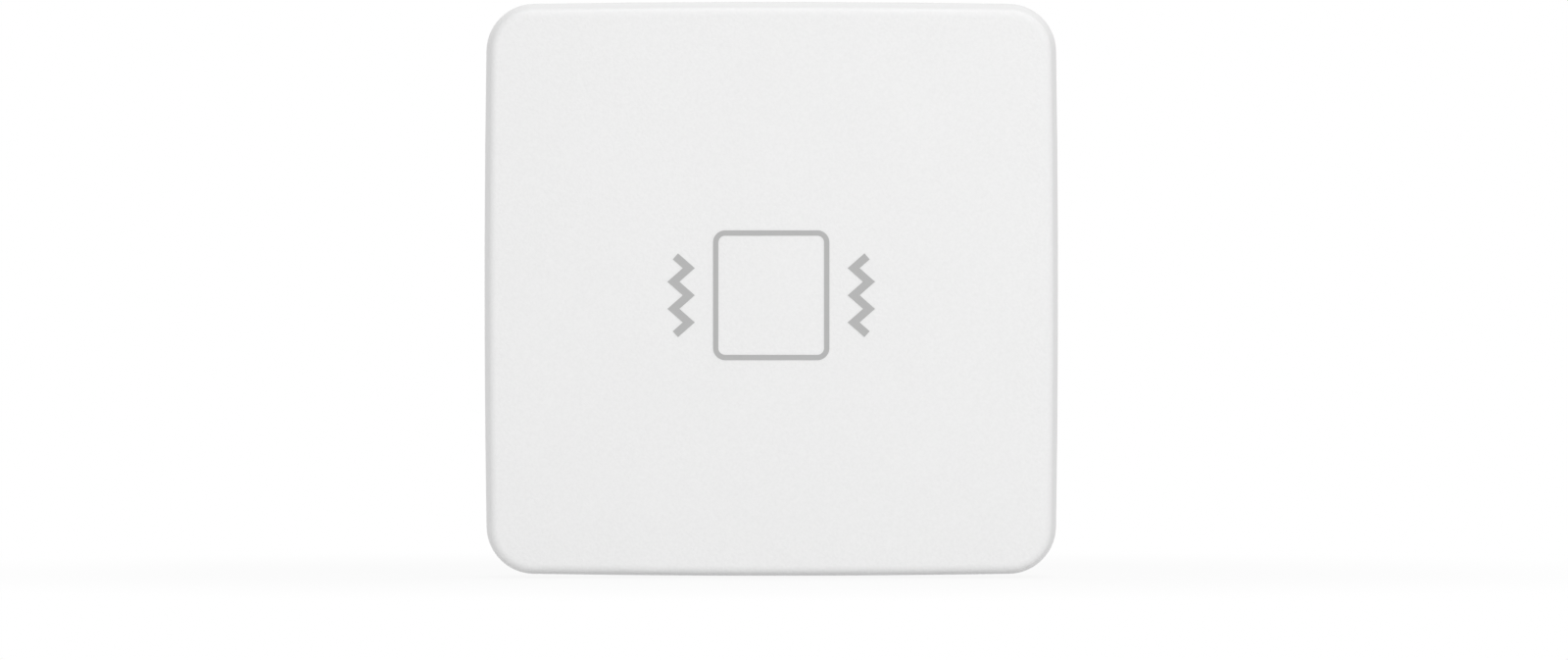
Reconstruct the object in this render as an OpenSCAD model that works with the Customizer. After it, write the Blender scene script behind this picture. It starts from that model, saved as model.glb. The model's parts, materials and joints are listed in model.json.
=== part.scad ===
// Vibration sensor tag: a square white case on an adhesive pad, with two cells, a radio board and a
// motion chip inside. The tag stands upright with its printed face towards -Y and the middle of its
// adhesive back at the origin. Every piece is drawn lying on its back, with x to the right, y up the
// face and z from the wall to the front, and stand() turns it upright.

/* [Case] */
// Radius of the upright corners, inside the base's rim
room_corner_r = 1.95; // [1.5:0.05:5]
// How far each side swells outwards at its middle
side_bow = 0.2; // [0.1:0.05:0.5]
// Rounding of the front edge
edge_r = 0.8; // [0.4:0.1:1.4]
// Taper of the cover's side walls, in degrees
draft = 2.5; // [0.5:0.25:3.5]
// Thickness of the cover's side walls at the rim
cover_wall = 1.6; // [1.4:0.1:2.4]
// Thickness of the cover's front wall
face_wall = 1.8; // [1.4:0.1:2.6]
// Sloped corner between the cover's front wall and side walls, inside
cover_slope = 0.8; // [0.4:0.1:1.2]
// Thickness of the base's floor
base_floor = 1.6; // [1.2:0.1:2.4]
// Bevel on the back edge of the base's floor
base_bevel = 0.4; // [0.2:0.1:0.8]
// Thickness of the base's upright rim
base_wall = 1.2; // [1:0.1:1.8]
// Height of the base's rim above its floor
rim_h = 6; // [4:0.5:8]
// Lead-in bevel on top of the base's rim
rim_lead = 0.4; // [0.2:0.1:0.6]
// Clearance between the base's rim and the cover's walls
fit_gap = 0.25; // [0.2:0.05:0.4]
// Parting line between the cover's rim and the base's floor
parting_gap = 0.15; // [0.1:0.05:0.3]
// Width of the pry notch in the middle of the bottom edge
notch_w = 12; // [8:1:20]
// Depth of the pry notch from the bottom edge
notch_deep = 1.2; // [0.8:0.1:1.5]
// Height of the pry notch
notch_h = 0.9; // [0.5:0.1:1]

/* [Cover grip] */
// Radius of the grip beads on the base's rim
bead_r = 0.6; // [0.4:0.1:1]
// Length of the grip beads
bead_len = 3; // [2:0.5:4]
// Clearance between the grip beads and the cover's wall
bead_play = 0.05; // [0.03:0.01:0.1]
// Width of the stops inside the cover that land on the base's rim
stop_w = 3; // [2:0.5:5]
// Clearance between the stops and the base's rim
stop_gap = 0.1; // [0.05:0.05:0.3]
// Thickness of the cover's ribs over the cells
rib_t = 1.2; // [0.8:0.1:1.6]
// Clearance between the ribs and the cells
rib_gap = 0.25; // [0.15:0.05:0.5]
// Wall left in front of the status lamp
lamp_wall = 0.7; // [0.5:0.1:1]
// Diameter of the thinned spot in front of the status lamp
lamp_spot_d = 4.4; // [3:0.2:6]

/* [Adhesive pad] */
// Thickness of the foam pad
pad_t = 0.8; // [0.4:0.1:1.5]
// Distance from the case's edge to the pad
pad_margin = 4; // [3:0.5:8]
// Corner radius of the pad
pad_r = 3; // [1:0.5:6]

/* [Printed mark] */
// Width of the box outline
mark_w = 12.1; // [8:0.1:16]
// Height of the box outline
mark_h = 13.5; // [10:0.1:18]
// Line width of the box outline
mark_line = 0.55; // [0.3:0.05:1]
// Outer corner radius of the box outline
mark_r = 1.25; // [1.05:0.05:2.5]
// Distance of the mark's middle below the middle of the face
mark_drop = 0.5; // [0:0.1:3]
// Line width of the zigzags
zigzag_line = 0.82; // [0.4:0.02:1]
// Height of one zigzag step
zigzag_step = 1.41; // [1.2:0.01:2]
// Half the sideways swing of a zigzag
zigzag_swing = 0.8; // [0.6:0.05:1.4]
// Distance from the box outline to the middle of a zigzag
zigzag_off = 3.33; // [2.6:0.01:5]
// Thickness of the ink film
ink_t = 0.05; // [0.02:0.01:0.1]

/* [Cells] */
// Diameter of a cell
cell_d = 10.5; // [9.5:0.1:14.5]
// Length of a cell, with its positive cap
cell_len = 44.5; // [40:0.5:51]
// Diameter of the positive cap
cap_d = 3.8; // [3:0.1:5]
// Height of the positive cap
cap_h = 0.9; // [0.7:0.1:1.5]
// Thickness of the printed sleeve
sleeve_t = 0.12; // [0.08:0.02:0.2]
// How far the sleeve turns in over the cell's ends
sleeve_lip = 0.5; // [0.3:0.1:0.8]
// Clearance between the sleeve and the can
sleeve_fit = 0.02; // [0.01:0.01:0.04]
// Clearance beside each cell
cell_gap = 0.5; // [0.3:0.1:1]
// Clearance between a cell and the base's floor
cell_seat = 0.3; // [0.25:0.05:0.6]
// Clearance between a cell and its saddles
saddle_gap = 0.15; // [0.1:0.05:0.2]
// Room between a cell and the cover's front wall
cell_headroom = 1; // [0.6:0.1:2]
// Thickness of the saddle ribs
saddle_t = 1.2; // [0.8:0.1:2]
// Height of the saddle ribs
saddle_h = 3.5; // [2:0.5:5]
// Distance between the saddle ribs
saddle_pitch = 14; // [10:1:17]
// Thickness of the wall between cells and board
divider_t = 1.2; // [0.8:0.1:2]
// Height of the wall between cells and board
divider_h = 8; // [5:0.5:9]

/* [Contacts] */
// Thickness of the contact plates
plate_t = 0.4; // [0.3:0.05:0.6]
// Width of a contact plate
plate_w = 8.6; // [8.4:0.2:9.6]
// Height of the contact plates above the base's floor
plate_h = 9.4; // [8:0.2:10]
// Diameter of the dimple that meets a positive cap
dimple_d = 3; // [2:0.1:4]
// Height of the dimple
dimple_h = 0.5; // [0.4:0.1:1]
// Length of the fitted springs
spring_len = 3.5; // [3:0.1:5]
// Diameter of the spring wire
wire_d = 0.5; // [0.4:0.05:0.55]
// Turns of a spring
spring_turns = 3; // [2:0.5:3]
// Diameter of a spring at the plate, at the middle of the wire
spring_base_d = 6.4; // [5.5:0.1:6.6]
// Diameter of a spring at the cell, at the middle of the wire
spring_tip_d = 3.4; // [2.6:0.1:4]
// Room behind the contact plates, to the base's rim
contact_room = 2.1; // [1:0.1:4]
// Clearance around the contact plates in their pockets
plate_gap = 0.1; // [0.05:0.05:0.2]
// Thickness of the lips in front of the contact plates
lip_t = 0.8; // [0.5:0.1:0.9]
// Overlap of the lips on the contact plates
lip_hold = 0.6; // [0.4:0.1:0.8]
// Height of the lips
lip_h = 4; // [3:0.5:6]
// Width of the arms that run from the plates to the board
arm_w = 1.4; // [1:0.1:1.6]
// Width of the prongs that pass through the board
prong_w = 1.6; // [1:0.1:2]
// Clearance around a prong in the board
prong_gap = 0.15; // [0.1:0.05:0.3]

/* [Board] */
// Height of the circuit board
board_h = 28.8; // [28:0.1:34]
// Thickness of the circuit board
board_t = 1; // [0.8:0.1:1.6]
// Clearance around the circuit board
board_gap = 0.5; // [0.4:0.1:1]
// Cut corners of the circuit board
board_cut = 2.5; // [2:0.1:3]
// Height of the posts under the board
standoff = 3; // [2.6:0.1:4]
// Diameter of the posts
post_d = 4.4; // [4:0.1:5]
// Distance of the posts from the board's edges
post_in = 3.4; // [3:0.1:4]
// Diameter of the board screws
screw_d = 2; // [1.6:0.1:2.2]
// Clearance of a screw in its post
screw_fit = 0.05; // [0.02:0.01:0.1]
// Clearance of a screw in the board
screw_play = 0.15; // [0.1:0.05:0.25]
// Diameter of a screw's head
screw_head_d = 3.6; // [3:0.1:4]
// Height of a screw's head
screw_head_h = 1.3; // [1:0.1:1.6]
// Length of a screw inside its post
screw_bite = 2.6; // [2:0.1:3]

/* [Radio] */
// Width of the radio module
radio_w = 16; // [14:0.5:17]
// Height of the radio module
radio_h = 13; // [12:0.1:14]
// Thickness of the radio module's board
radio_t = 0.8; // [0.6:0.1:1.2]
// Width of the shield can
shield_w = 12.4; // [10:0.2:13]
// Height of the shield can up the board
shield_h = 7.6; // [7:0.2:8]
// Depth of the shield can off the module
shield_deep = 2; // [1.6:0.1:2.6]
// Wall of the shield can
shield_t = 0.2; // [0.15:0.05:0.3]
// Side of the radio chip
chip_side = 5; // [4:0.5:6]
// Depth of the radio chip
chip_deep = 0.85; // [0.7:0.05:1]
// Width of the antenna's trace
trace_w = 0.5; // [0.3:0.05:0.6]
// Thickness of the antenna's trace
trace_t = 0.05; // [0.03:0.01:0.1]
// Number of the antenna's fingers
antenna_fingers = 9; // [5:2:11]
// Length of the antenna's fingers
antenna_len = 3.2; // [2.5:0.1:3.6]

/* [Switches] */
// Side of the reset switch
reset_side = 6; // [5.6:0.1:6.5]
// Height of the reset switch's body
reset_body_h = 3.2; // [2.5:0.1:3.6]
// Thickness of the reset switch's cover plate
reset_plate_t = 0.25; // [0.2:0.05:0.4]
// Diameter of the reset button
button_d = 3.5; // [3:0.1:3.6]
// Height of the reset button above the cover plate
button_rise = 1.5; // [1:0.1:1.6]
// Diameter of the collar that keeps the button in
collar_d = 4.6; // [4.2:0.1:4.8]
// Clearance around the button and its collar
button_gap = 0.15; // [0.1:0.05:0.25]
// Travel of the button
button_travel = 0.25; // [0.2:0.05:0.5]
// Length of the slide switch
slide_len = 9; // [8.6:0.1:10]
// Width of the slide switch
slide_w = 3.6; // [3.4:0.1:4]
// Height of the slide switch's shell
slide_h = 3.4; // [3:0.1:3.8]
// Wall of the slide switch's shell
slide_t = 0.25; // [0.2:0.05:0.3]
// Height of the slide switch's base
slide_base_h = 1; // [0.8:0.1:1.2]
// Length of the knob along its travel
knob_len = 1.8; // [1.4:0.1:2]
// Width of the knob
knob_w = 1.5; // [1.2:0.1:1.6]
// Height of the knob above the shell
knob_rise = 1.8; // [1.2:0.1:2]
// Travel of the knob to either side
knob_travel = 1.5; // [1:0.1:1.6]
// Clearance of the knob and its carriage in the shell
slide_gap = 0.1; // [0.08:0.01:0.15]

/* [Small parts] */
// Diameter of the bulk capacitor
bulk_d = 6.3; // [5:0.1:6.5]
// Height of the bulk capacitor
bulk_h = 5.4; // [4:0.1:5.8]
// Side of the motion chip
motion_side = 3; // [2:0.1:3]
// Depth of the motion chip
motion_deep = 1; // [0.8:0.1:1.2]
// Length of the crystal
crystal_len = 3.2; // [2.5:0.1:3.6]
// Width of the crystal
crystal_w = 2.5; // [2:0.1:2.8]
// Depth of the crystal
crystal_deep = 0.8; // [0.6:0.1:1]
// Length of the status lamp
lamp_len = 3.2; // [2.8:0.1:3.4]
// Width of the status lamp
lamp_w = 2.6; // [2.2:0.1:2.8]
// Height of the status lamp's body
lamp_h = 1.2; // [0.8:0.1:1.5]
// Length of the chip capacitors and resistors
smd_len = 1.6; // [1.2:0.1:1.8]
// Width of the chip capacitors and resistors
smd_w = 0.8; // [0.6:0.05:1]
// Length of a chip's metal end
smd_end = 0.35; // [0.2:0.05:0.4]
// Depth of a chip capacitor
capacitor_deep = 0.8; // [0.5:0.05:1]
// Depth of a chip resistor
resistor_deep = 0.45; // [0.35:0.05:0.6]

/* [Hidden] */
$fn = 64;

// Overlap of features that grow out of one moulding
sink = 0.3;
// Extra reach of a cut past the face that it opens
reach = 1;

// Half the distance between the contact plates, from what stands between them
contact_x = (cell_len + dimple_h + spring_len) / 2;
// Half the clear room inside the base's rim: the row of contacts or the stack of cells and board
row_half = contact_x + plate_t + contact_room;
stack_half = (2 * cell_d + 3 * cell_gap + divider_t + board_h + 2 * board_gap) / 2;
room_half = max(row_half, stack_half);

// Distances in from the case's outline
rim_out = cover_wall + fit_gap;
rim_in = rim_out + base_wall;
ring_depth = rim_in + room_corner_r / 2;
core_in = ring_depth / 2;
case_half = room_half + side_bow + rim_in;
corner_r = room_corner_r + rim_in;

// Levels from the wall to the front
z_floor = pad_t + base_floor;
z_rim_top = z_floor + rim_h;
z_cover = z_floor + parting_gap;
z_cell = z_floor + cell_seat + cell_d / 2;
z_board = z_floor + standoff;
z_top = z_board + board_t;
tallest_part = max(bulk_h, reset_body_h + reset_plate_t + button_rise, slide_h + knob_rise);
part_headroom = 1;
z_face_in = z_floor + max(cell_seat + cell_d + cell_headroom,
  standoff + board_t + tallest_part + part_headroom);
z_front = z_face_in + face_wall;

// Places up the face
y_low = -room_half + cell_gap + cell_d / 2;
y_high = y_low + cell_d + cell_gap;
y_divider = y_high + cell_d / 2 + cell_gap;
board_y = y_divider + divider_t + board_gap;
board_top = board_y + board_h;
board_half = room_half - board_gap;

// Each side is an arc about a far axis that runs smoothly into the corner arcs
bow_r = ((case_half - corner_r)^2 + side_bow^2) / (2 * side_bow);
bow_axis = bow_r - case_half;
bow_c = (sqrt(2 * (bow_r - corner_r)^2 - bow_axis^2) - bow_axis) / 2;
corner_c = round(bow_c * 1000) / 1000;
side_turn = round(atan(bow_c / (bow_c + bow_axis)) * 10000) / 10000;
side_axis = corner_c / tan(side_turn) - corner_c;
side_r = side_axis + case_half;
turn_r = side_r - (corner_c + side_axis) / cos(side_turn);
side_fn = 1200;

// Shares of a side's half arc at which stops and grip beads sit
stop_share = 0.4;
bead_share = 0.75;

// Screw posts and plain posts under the board
screw_posts = [
  [-board_half + post_in, board_y + post_in],
  [board_half - post_in, board_top - post_in]];
plain_posts = [
  [-board_half + post_in, board_top - post_in],
  [contact_x - post_in - post_d / 2, board_y + post_in]];
pilot_spare = 0.3;

// Arms and prongs of the two contacts at the board's right end
arm_clear = 0.4;
arm_over_board = 1.4;
arm_low = z_floor + plate_gap;
plate_lift = plate_gap + arm_w + arm_clear;
arm_high = z_top + arm_over_board;
prong_rise = 0.6;
minus_prong_in = 1.5;
plus_prong_in = 5.5;
minus_prong_y = board_y + minus_prong_in;
plus_prong_y = board_y + plus_prong_in;

// Places of the parts on the board: in from its left or right edge, up from its lower edge or down
// from its upper edge
radio_edge = 0.4;
shield_edge = 0.7;
radio_in = 15.25;
radio_at = [-board_half + radio_in, board_top - radio_edge - radio_h / 2];
shield_at = [radio_at[0], radio_at[1] + (shield_h - radio_h) / 2 + shield_edge];
slide_in = 21.75;
slide_down = 4.5;
slide_at = [board_half - slide_in, board_top - slide_down];
reset_in = 11.05;
reset_down = 6.2;
reset_at = [board_half - reset_in, board_top - reset_down];
lamp_down = 10.5;
lamp_at = [slide_at[0], board_top - lamp_down];
bulk_in = 13.75;
bulk_up = 5.2;
bulk_at = [board_half - bulk_in, board_y + bulk_up];
motion_up = 6;
motion_at = [0, board_y + motion_up];
crystal_in = 19.75;
crystal_at = [-board_half + crystal_in, board_y + motion_up];

// Rows of chips: beside the motion chip, right of it, under the radio and beside the lamp
chip_up = 3;
chip_pitch = 2;
motion_side_row = 3.2;
motion_right_row = 5.8;
radio_left_row = 4;
lamp_right_row = 4.1;
capacitors_at = [
  for (side = [-1, 1]) [motion_at[0] + side * motion_side_row, motion_at[1], 90],
  for (i = [0, 1]) [motion_at[0] + motion_right_row, board_y + chip_up + i * chip_pitch, 0],
  for (i = [0, 1]) [radio_at[0], board_y + chip_up + i * chip_pitch, 0]];
resistors_at = [
  for (i = [0:2]) [radio_at[0] - radio_left_row, board_y + chip_up + i * chip_pitch, 0],
  for (i = [0, 1]) [lamp_at[0] + lamp_right_row + i * chip_pitch, lamp_at[1], 90]];

// Turns a piece that lies on its back upright, with its front towards -Y
module stand() {
  rotate([90, 0, 0]) children();
}

// Shifts along x in two steps, so that a long offset keeps its last digits
module along_x(d) {
  whole = round(d * 100) / 100;
  translate([whole, 0]) translate([d - whole, 0]) children();
}

// Sweeps a section round the case's outline: x is the distance out from the outline, y the level
module sweep_outline() {
  for (turn = [0:90:270]) rotate(turn) {
    along_x(-side_axis)
      rotate_extrude(angle = 2 * side_turn, start = -side_turn, $fn = side_fn)
        along_x(side_r) children();
    translate([corner_c, corner_c])
      rotate_extrude(angle = 90 - 2 * side_turn, start = side_turn)
        along_x(turn_r) children();
  }
}

// Sets children at shares of each side's arc, with x pointing out of the case and 0 on its outline
module at_sides(share) {
  for (turn = [0:90:270], way = [-1, 1])
    rotate(turn)
      translate([-side_axis, 0, 0])
        rotate(way * share * side_turn)
          translate([side_r, 0, 0]) children();
}

// Plate that closes the middle of a swept ring, with its edges inside the ring
module core_plate(z0, z1) {
  flat = case_half - core_in;
  bend = 2 * corner_c + (corner_r - core_in) * sqrt(2) - flat;
  translate([0, 0, z0])
    linear_extrude(z1 - z0)
      polygon([[flat, bend], [bend, flat], [-bend, flat], [-flat, bend],
        [-flat, -bend], [-bend, -flat], [bend, -flat], [flat, -bend]]);
}

// Block with its middle at a place on the face, from one level to another
module block(at, size, z0, z1) {
  translate([at[0] - size[0] / 2, at[1] - size[1] / 2, z0])
    cube([size[0], size[1], z1 - z0]);
}

// Round post at a place on the face, from one level to another
module post(at, d, z0, z1) {
  translate([at[0], at[1], z0]) cylinder(d = d, h = z1 - z0);
}

// Upright sheet across x: its outline is drawn with y as its first and z as its second direction
module sheet(x0, t) {
  translate([x0, 0, 0]) rotate([90, 0, 90]) linear_extrude(t) children();
}

// Rounded rectangle about the origin
module round_rect(w, h, r) {
  square([w - 2 * r, h], center = true);
  for (side = [-1, 1])
    translate([side * (w - r) / 2, 0]) square([r, h - 2 * r], center = true);
  for (turn = [0:90:270]) {
    across = turn % 180 == 0 ? w : h;
    along = turn % 180 == 0 ? h : w;
    rotate(turn) translate([across / 2 - r, along / 2 - r])
      intersection() {
        circle(r);
        square(2 * r);
      }
  }
}

// Outline of a line of even width through points, with mitred bends and square ends
function unit(v) = v / norm(v);
function left_of(v) = [-v[1], v[0]];
function bend_offset(p, i, w) =
  let (last = len(p) - 1,
    into = unit(i > 0 ? p[i] - p[i - 1] : p[1] - p[0]),
    out = unit(i < last ? p[i + 1] - p[i] : p[last] - p[last - 1]),
    way = unit(left_of(into) + left_of(out)))
  way * w / 2 / (way * left_of(into));
function line_outline(p, w) = concat(
  [for (i = [0:len(p) - 1]) p[i] + bend_offset(p, i, w)],
  [for (i = [len(p) - 1:-1:0]) p[i] - bend_offset(p, i, w)]);

// Section of the cover's wall, with its rounded front edge
module cover_section() {
  edge_z = z_front - edge_r;
  edge_x = -(edge_z - z_cover) * tan(draft) - edge_r / cos(draft);
  normal = [cos(draft), sin(draft)];
  middle = [edge_x, edge_z];
  polygon([[0, z_cover], middle + edge_r * normal, middle, [edge_x, z_front], [-ring_depth, z_front],
    [-ring_depth, z_face_in], [-cover_wall - cover_slope, z_face_in],
    [-cover_wall, z_face_in - cover_slope], [-cover_wall, z_cover]]);
  intersection() {
    translate(middle) circle(edge_r);
    polygon([middle, middle + 2 * edge_r * normal, middle + 2 * edge_r * [1, 1],
      middle + 2 * edge_r * [0, 1]]);
  }
}

// Ribs over the cells, and stops that land on the base's rim
module cover_inner() {
  for (side = [-1, 1])
    block([side * saddle_pitch, (y_low + y_high) / 2], [rib_t, y_high - y_low + cell_d / 2],
      z_cell + cell_d / 2 + rib_gap, z_face_in + sink);
  at_sides(stop_share)
    block([-(rim_in + cover_wall - sink) / 2, 0], [rim_in - cover_wall + sink, stop_w],
      z_rim_top + stop_gap, z_face_in + sink);
}

module front_cover() {
  color("#ebebea") stand() difference() {
    union() {
      sweep_outline() cover_section();
      core_plate(z_face_in, z_front);
      cover_inner();
    }
    post(lamp_at, lamp_spot_d, z_face_in - reach, z_front - lamp_wall);
  }
}

// Zigzag to the right of the box outline, from its top end to its bottom end
zigzag_tail = 0.87;
zigzag_bends = 5;
function zigzag_point(i) =
  let (half = (zigzag_bends - 1) / 2,
    end = i < 0 ? 1 : i > zigzag_bends - 1 ? -1 : 0,
    at = i + end * (1 - zigzag_tail),
    lean = end == 0 ? 1 : 1 - 2 * (1 - zigzag_tail))
  [mark_w / 2 + zigzag_off + (i % 2 == 0 ? -1 : 1) * lean * zigzag_swing, (half - at) * zigzag_step];
zigzag = [for (i = [-1:zigzag_bends]) zigzag_point(i)];

module icon_print() {
  color("#b7b7b7") stand() translate([0, -mark_drop, z_front]) linear_extrude(ink_t) {
    difference() {
      round_rect(mark_w, mark_h, mark_r);
      round_rect(mark_w - 2 * mark_line, mark_h - 2 * mark_line, mark_r - mark_line);
    }
    for (way = [0, 1]) mirror([way, 0]) polygon(line_outline(zigzag, zigzag_line));
  }
}

// Section of the base's floor edge and rim
module base_section() {
  polygon([[-ring_depth, pad_t], [-base_bevel, pad_t], [0, pad_t + base_bevel], [0, z_floor],
    [-rim_out, z_floor], [-rim_out, z_rim_top - rim_lead], [-rim_out - rim_lead, z_rim_top],
    [-rim_in, z_rim_top], [-rim_in, z_floor], [-ring_depth, z_floor]]);
}

// Saddle ribs under the cells and the wall between cells and board
module cell_bay() {
  bay_low = -room_half - sink;
  difference() {
    for (i = [-1:1])
      block([i * saddle_pitch, (bay_low + y_divider + sink) / 2], [saddle_t, y_divider + sink - bay_low],
        z_floor - sink, z_floor + saddle_h);
    for (y = [y_low, y_high])
      translate([-cell_len, y, z_cell]) rotate([0, 90, 0])
        cylinder(d = cell_d + 2 * saddle_gap, h = 2 * cell_len);
  }
  block([0, y_divider + divider_t / 2], [2 * (contact_x - lip_t - plate_gap), divider_t],
    z_floor - sink, z_floor + divider_h);
}

// Backing wall and lips that hold the contact plates at one end, where way is 1 at the right
module contact_pocket(way, edges) {
  back = contact_x + plate_t + plate_gap;
  front = contact_x - plate_gap;
  bay_low = -room_half - sink;
  block([way * (back + room_half + sink) / 2, (bay_low + y_divider) / 2],
    [room_half + sink - back, y_divider - bay_low], z_floor - sink, z_rim_top - rim_lead);
  for (y = edges)
    block([way * (front - lip_t / 2), y], [lip_t, 2 * lip_hold], z_floor - sink, z_floor + lip_h);
}

module rear_base() {
  half = plate_w / 2;
  color("#e4e4e2") stand() difference() {
    union() {
      sweep_outline() base_section();
      core_plate(pad_t, z_floor);
      at_sides(bead_share)
        post([-rim_out - bead_r + fit_gap - bead_play, 0], 2 * bead_r,
          z_floor - sink, z_floor + bead_len);
      cell_bay();
      contact_pocket(1, [y_low - half, y_low + half, y_high - half, y_high + half]);
      contact_pocket(-1, [y_low - half, y_high + half]);
      for (at = concat(screw_posts, plain_posts)) post(at, post_d, z_floor - sink, z_board);
    }
    for (at = screw_posts)
      post(at, screw_d + 2 * screw_fit, z_board - screw_bite - pilot_spare, z_board + reach);
    block([0, -case_half], [notch_w, 2 * notch_deep], z_floor - notch_h, z_floor + reach);
  }
}

module adhesive_pad() {
  side = 2 * (case_half - pad_margin);
  color("#c9ccce") stand() linear_extrude(pad_t) round_rect(side, side, pad_r);
}

// Sets a cell, drawn along z from its negative end, in its bay with its cap at one end
module in_bay(y, way) {
  translate([way * (contact_x - dimple_h - cell_len), y, z_cell]) rotate([0, way * 90, 0]) children();
}

sleeve_low = 0.06;
sleeve_in = cell_d / 2 - sleeve_t;
can_r = sleeve_in - sleeve_fit;
crimp_z = sleeve_low + sleeve_t + sleeve_fit;
shoulder_z = cell_len - cap_h;
groove_w = 0.45;
groove_deep = 0.3;
cap_soft = 0.2;

module cell_can() {
  disc_r = can_r - 2 * groove_w;
  cap_r = cap_d / 2;
  rotate_extrude()
    polygon([[0, 0], [disc_r, 0], [disc_r, crimp_z + groove_deep],
      [disc_r + groove_w, crimp_z + groove_deep], [disc_r + groove_w, crimp_z], [can_r, crimp_z],
      [can_r, shoulder_z], [cap_r + 2 * groove_w, shoulder_z],
      [cap_r + 2 * groove_w, shoulder_z - groove_deep], [cap_r + groove_w, shoulder_z - groove_deep],
      [cap_r, shoulder_z], [cap_r, cell_len - cap_soft], [cap_r - cap_soft, cell_len], [0, cell_len]]);
}

module cell_sleeve() {
  top = shoulder_z + sleeve_fit + sleeve_t;
  lip = sleeve_in - sleeve_lip;
  rotate_extrude()
    polygon([[lip, sleeve_low], [cell_d / 2, sleeve_low], [cell_d / 2, top], [lip, top],
      [lip, top - sleeve_t], [sleeve_in, top - sleeve_t], [sleeve_in, sleeve_low + sleeve_t],
      [lip, sleeve_low + sleeve_t]]);
}

module lower_cell_can() {
  color("#b9bcc0") stand() in_bay(y_low, -1) cell_can();
}

module lower_cell_sleeve() {
  color("#3d4348") stand() in_bay(y_low, -1) cell_sleeve();
}

module upper_cell_can() {
  color("#b9bcc0") stand() in_bay(y_high, 1) cell_can();
}

module upper_cell_sleeve() {
  color("#3d4348") stand() in_bay(y_high, 1) cell_sleeve();
}

// Dimple on a plate, pointing at the positive cap at height y
module dimple(way, y) {
  translate([way * (contact_x - dimple_h), y, z_cell]) rotate([0, way * 90, 0])
    cylinder(d = dimple_d, h = dimple_h + plate_t / 2);
}

module bridge_contact() {
  low = y_low - plate_w / 2;
  color("#cfc9b8") stand() {
    sheet(-contact_x - plate_t, plate_t)
      translate([low, z_floor + plate_gap]) square([y_high + plate_w / 2 - low, plate_h - plate_gap]);
    dimple(-1, y_low);
  }
}

// Plate with a high arm, whose prong passes down through the board
module positive_contact() {
  prong_end = plus_prong_y + prong_w;
  plate_right = y_high + plate_w / 2;
  color("#cfc9b8") stand() {
    sheet(contact_x, plate_t)
      polygon([[y_high - plate_w / 2, z_floor + plate_lift], [plate_right, z_floor + plate_lift],
        [plate_right, arm_high], [plus_prong_y, arm_high], [plus_prong_y, z_board - prong_rise],
        [prong_end, z_board - prong_rise], [prong_end, arm_high + arm_w],
        [plate_right, arm_high + arm_w], [plate_right, z_floor + plate_h],
        [y_high - plate_w / 2, z_floor + plate_h]]);
    dimple(1, y_high);
  }
}

// Plate with a low arm that passes under the upper plate, and a prong up through the board
module negative_contact() {
  prong_end = minus_prong_y + prong_w;
  plate_right = y_low + plate_w / 2;
  color("#cfc9b8") stand()
    sheet(contact_x, plate_t)
      polygon([[y_low - plate_w / 2, arm_low], [prong_end, arm_low], [prong_end, z_top + prong_rise],
        [minus_prong_y, z_top + prong_rise], [minus_prong_y, arm_low + arm_w],
        [plate_right, arm_low + arm_w], [plate_right, z_floor + plate_h],
        [y_low - plate_w / 2, z_floor + plate_h]]);
}

// Conical spring along z: the middle of its wire, ring by ring
curl_rings = 8;
wire_sides = 6;
wire_touch = 0.03;
function spring_share(i) = i / (spring_turns * curl_rings);
function spring_r(s) = (spring_base_d + (spring_tip_d - spring_base_d) * s) / 2;
function spring_z(s) = wire_d / 2 + wire_touch + (spring_len - wire_d - 2 * wire_touch) * s;
function spring_point(i) =
  let (s = spring_share(i), turn = 360 * spring_turns * s)
  [spring_r(s) * cos(turn), spring_r(s) * sin(turn), spring_z(s)];
function wire_point(i, k) =
  let (turn = 360 * i / curl_rings, round = 360 * k / wire_sides)
  spring_point(i) + wire_d / 2 * [cos(round) * cos(turn), cos(round) * sin(turn), sin(round)];

spring_rings = spring_turns * curl_rings;
spring_middle = [for (i = [0:spring_rings]) spring_point(i)];
spring_clear = min([for (i = [0:spring_rings], j = [i + curl_rings / 2:1:spring_rings])
  norm(spring_middle[i] - spring_middle[j])]) - wire_d;
echo(str("least gap between the turns of a spring: ", spring_clear, " mm"));

module spring() {
  points = [for (i = [0:spring_rings], k = [0:wire_sides - 1]) wire_point(i, k)];
  skin = [for (i = [0:spring_rings - 1], k = [0:wire_sides - 1])
    let (a = i * wire_sides + k, b = i * wire_sides + (k + 1) % wire_sides)
    each [[a, b, b + wire_sides], [a, b + wire_sides, a + wire_sides]]];
  last = spring_rings * wire_sides;
  ends = [for (k = [1:wire_sides - 2]) each [[0, k + 1, k], [last, last + k, last + k + 1]]];
  polyhedron(points, concat(skin, ends));
}

module bridge_spring() {
  color("#c4c6c9") stand() translate([-contact_x, y_high, z_cell]) rotate([0, 90, 0]) spring();
}

module negative_spring() {
  color("#c4c6c9") stand() translate([contact_x, y_low, z_cell]) rotate([0, -90, 0]) spring();
}

module circuit_board() {
  w = board_half;
  c = board_cut;
  color("#1f6b3f") stand() translate([0, 0, z_board]) linear_extrude(board_t) difference() {
    polygon([[-w, board_y], [w, board_y], [w, board_top - c], [w - c, board_top],
      [-w + c, board_top], [-w, board_top - c]]);
    for (at = screw_posts) translate(at) circle(d = screw_d + 2 * screw_play);
    for (y = [minus_prong_y, plus_prong_y])
      translate([contact_x - prong_gap, y - prong_gap])
        square([plate_t + 2 * prong_gap, prong_w + 2 * prong_gap]);
  }
}

recess_w = 0.5;
recess_deep = 0.7;
recess_span = 0.55;

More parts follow.
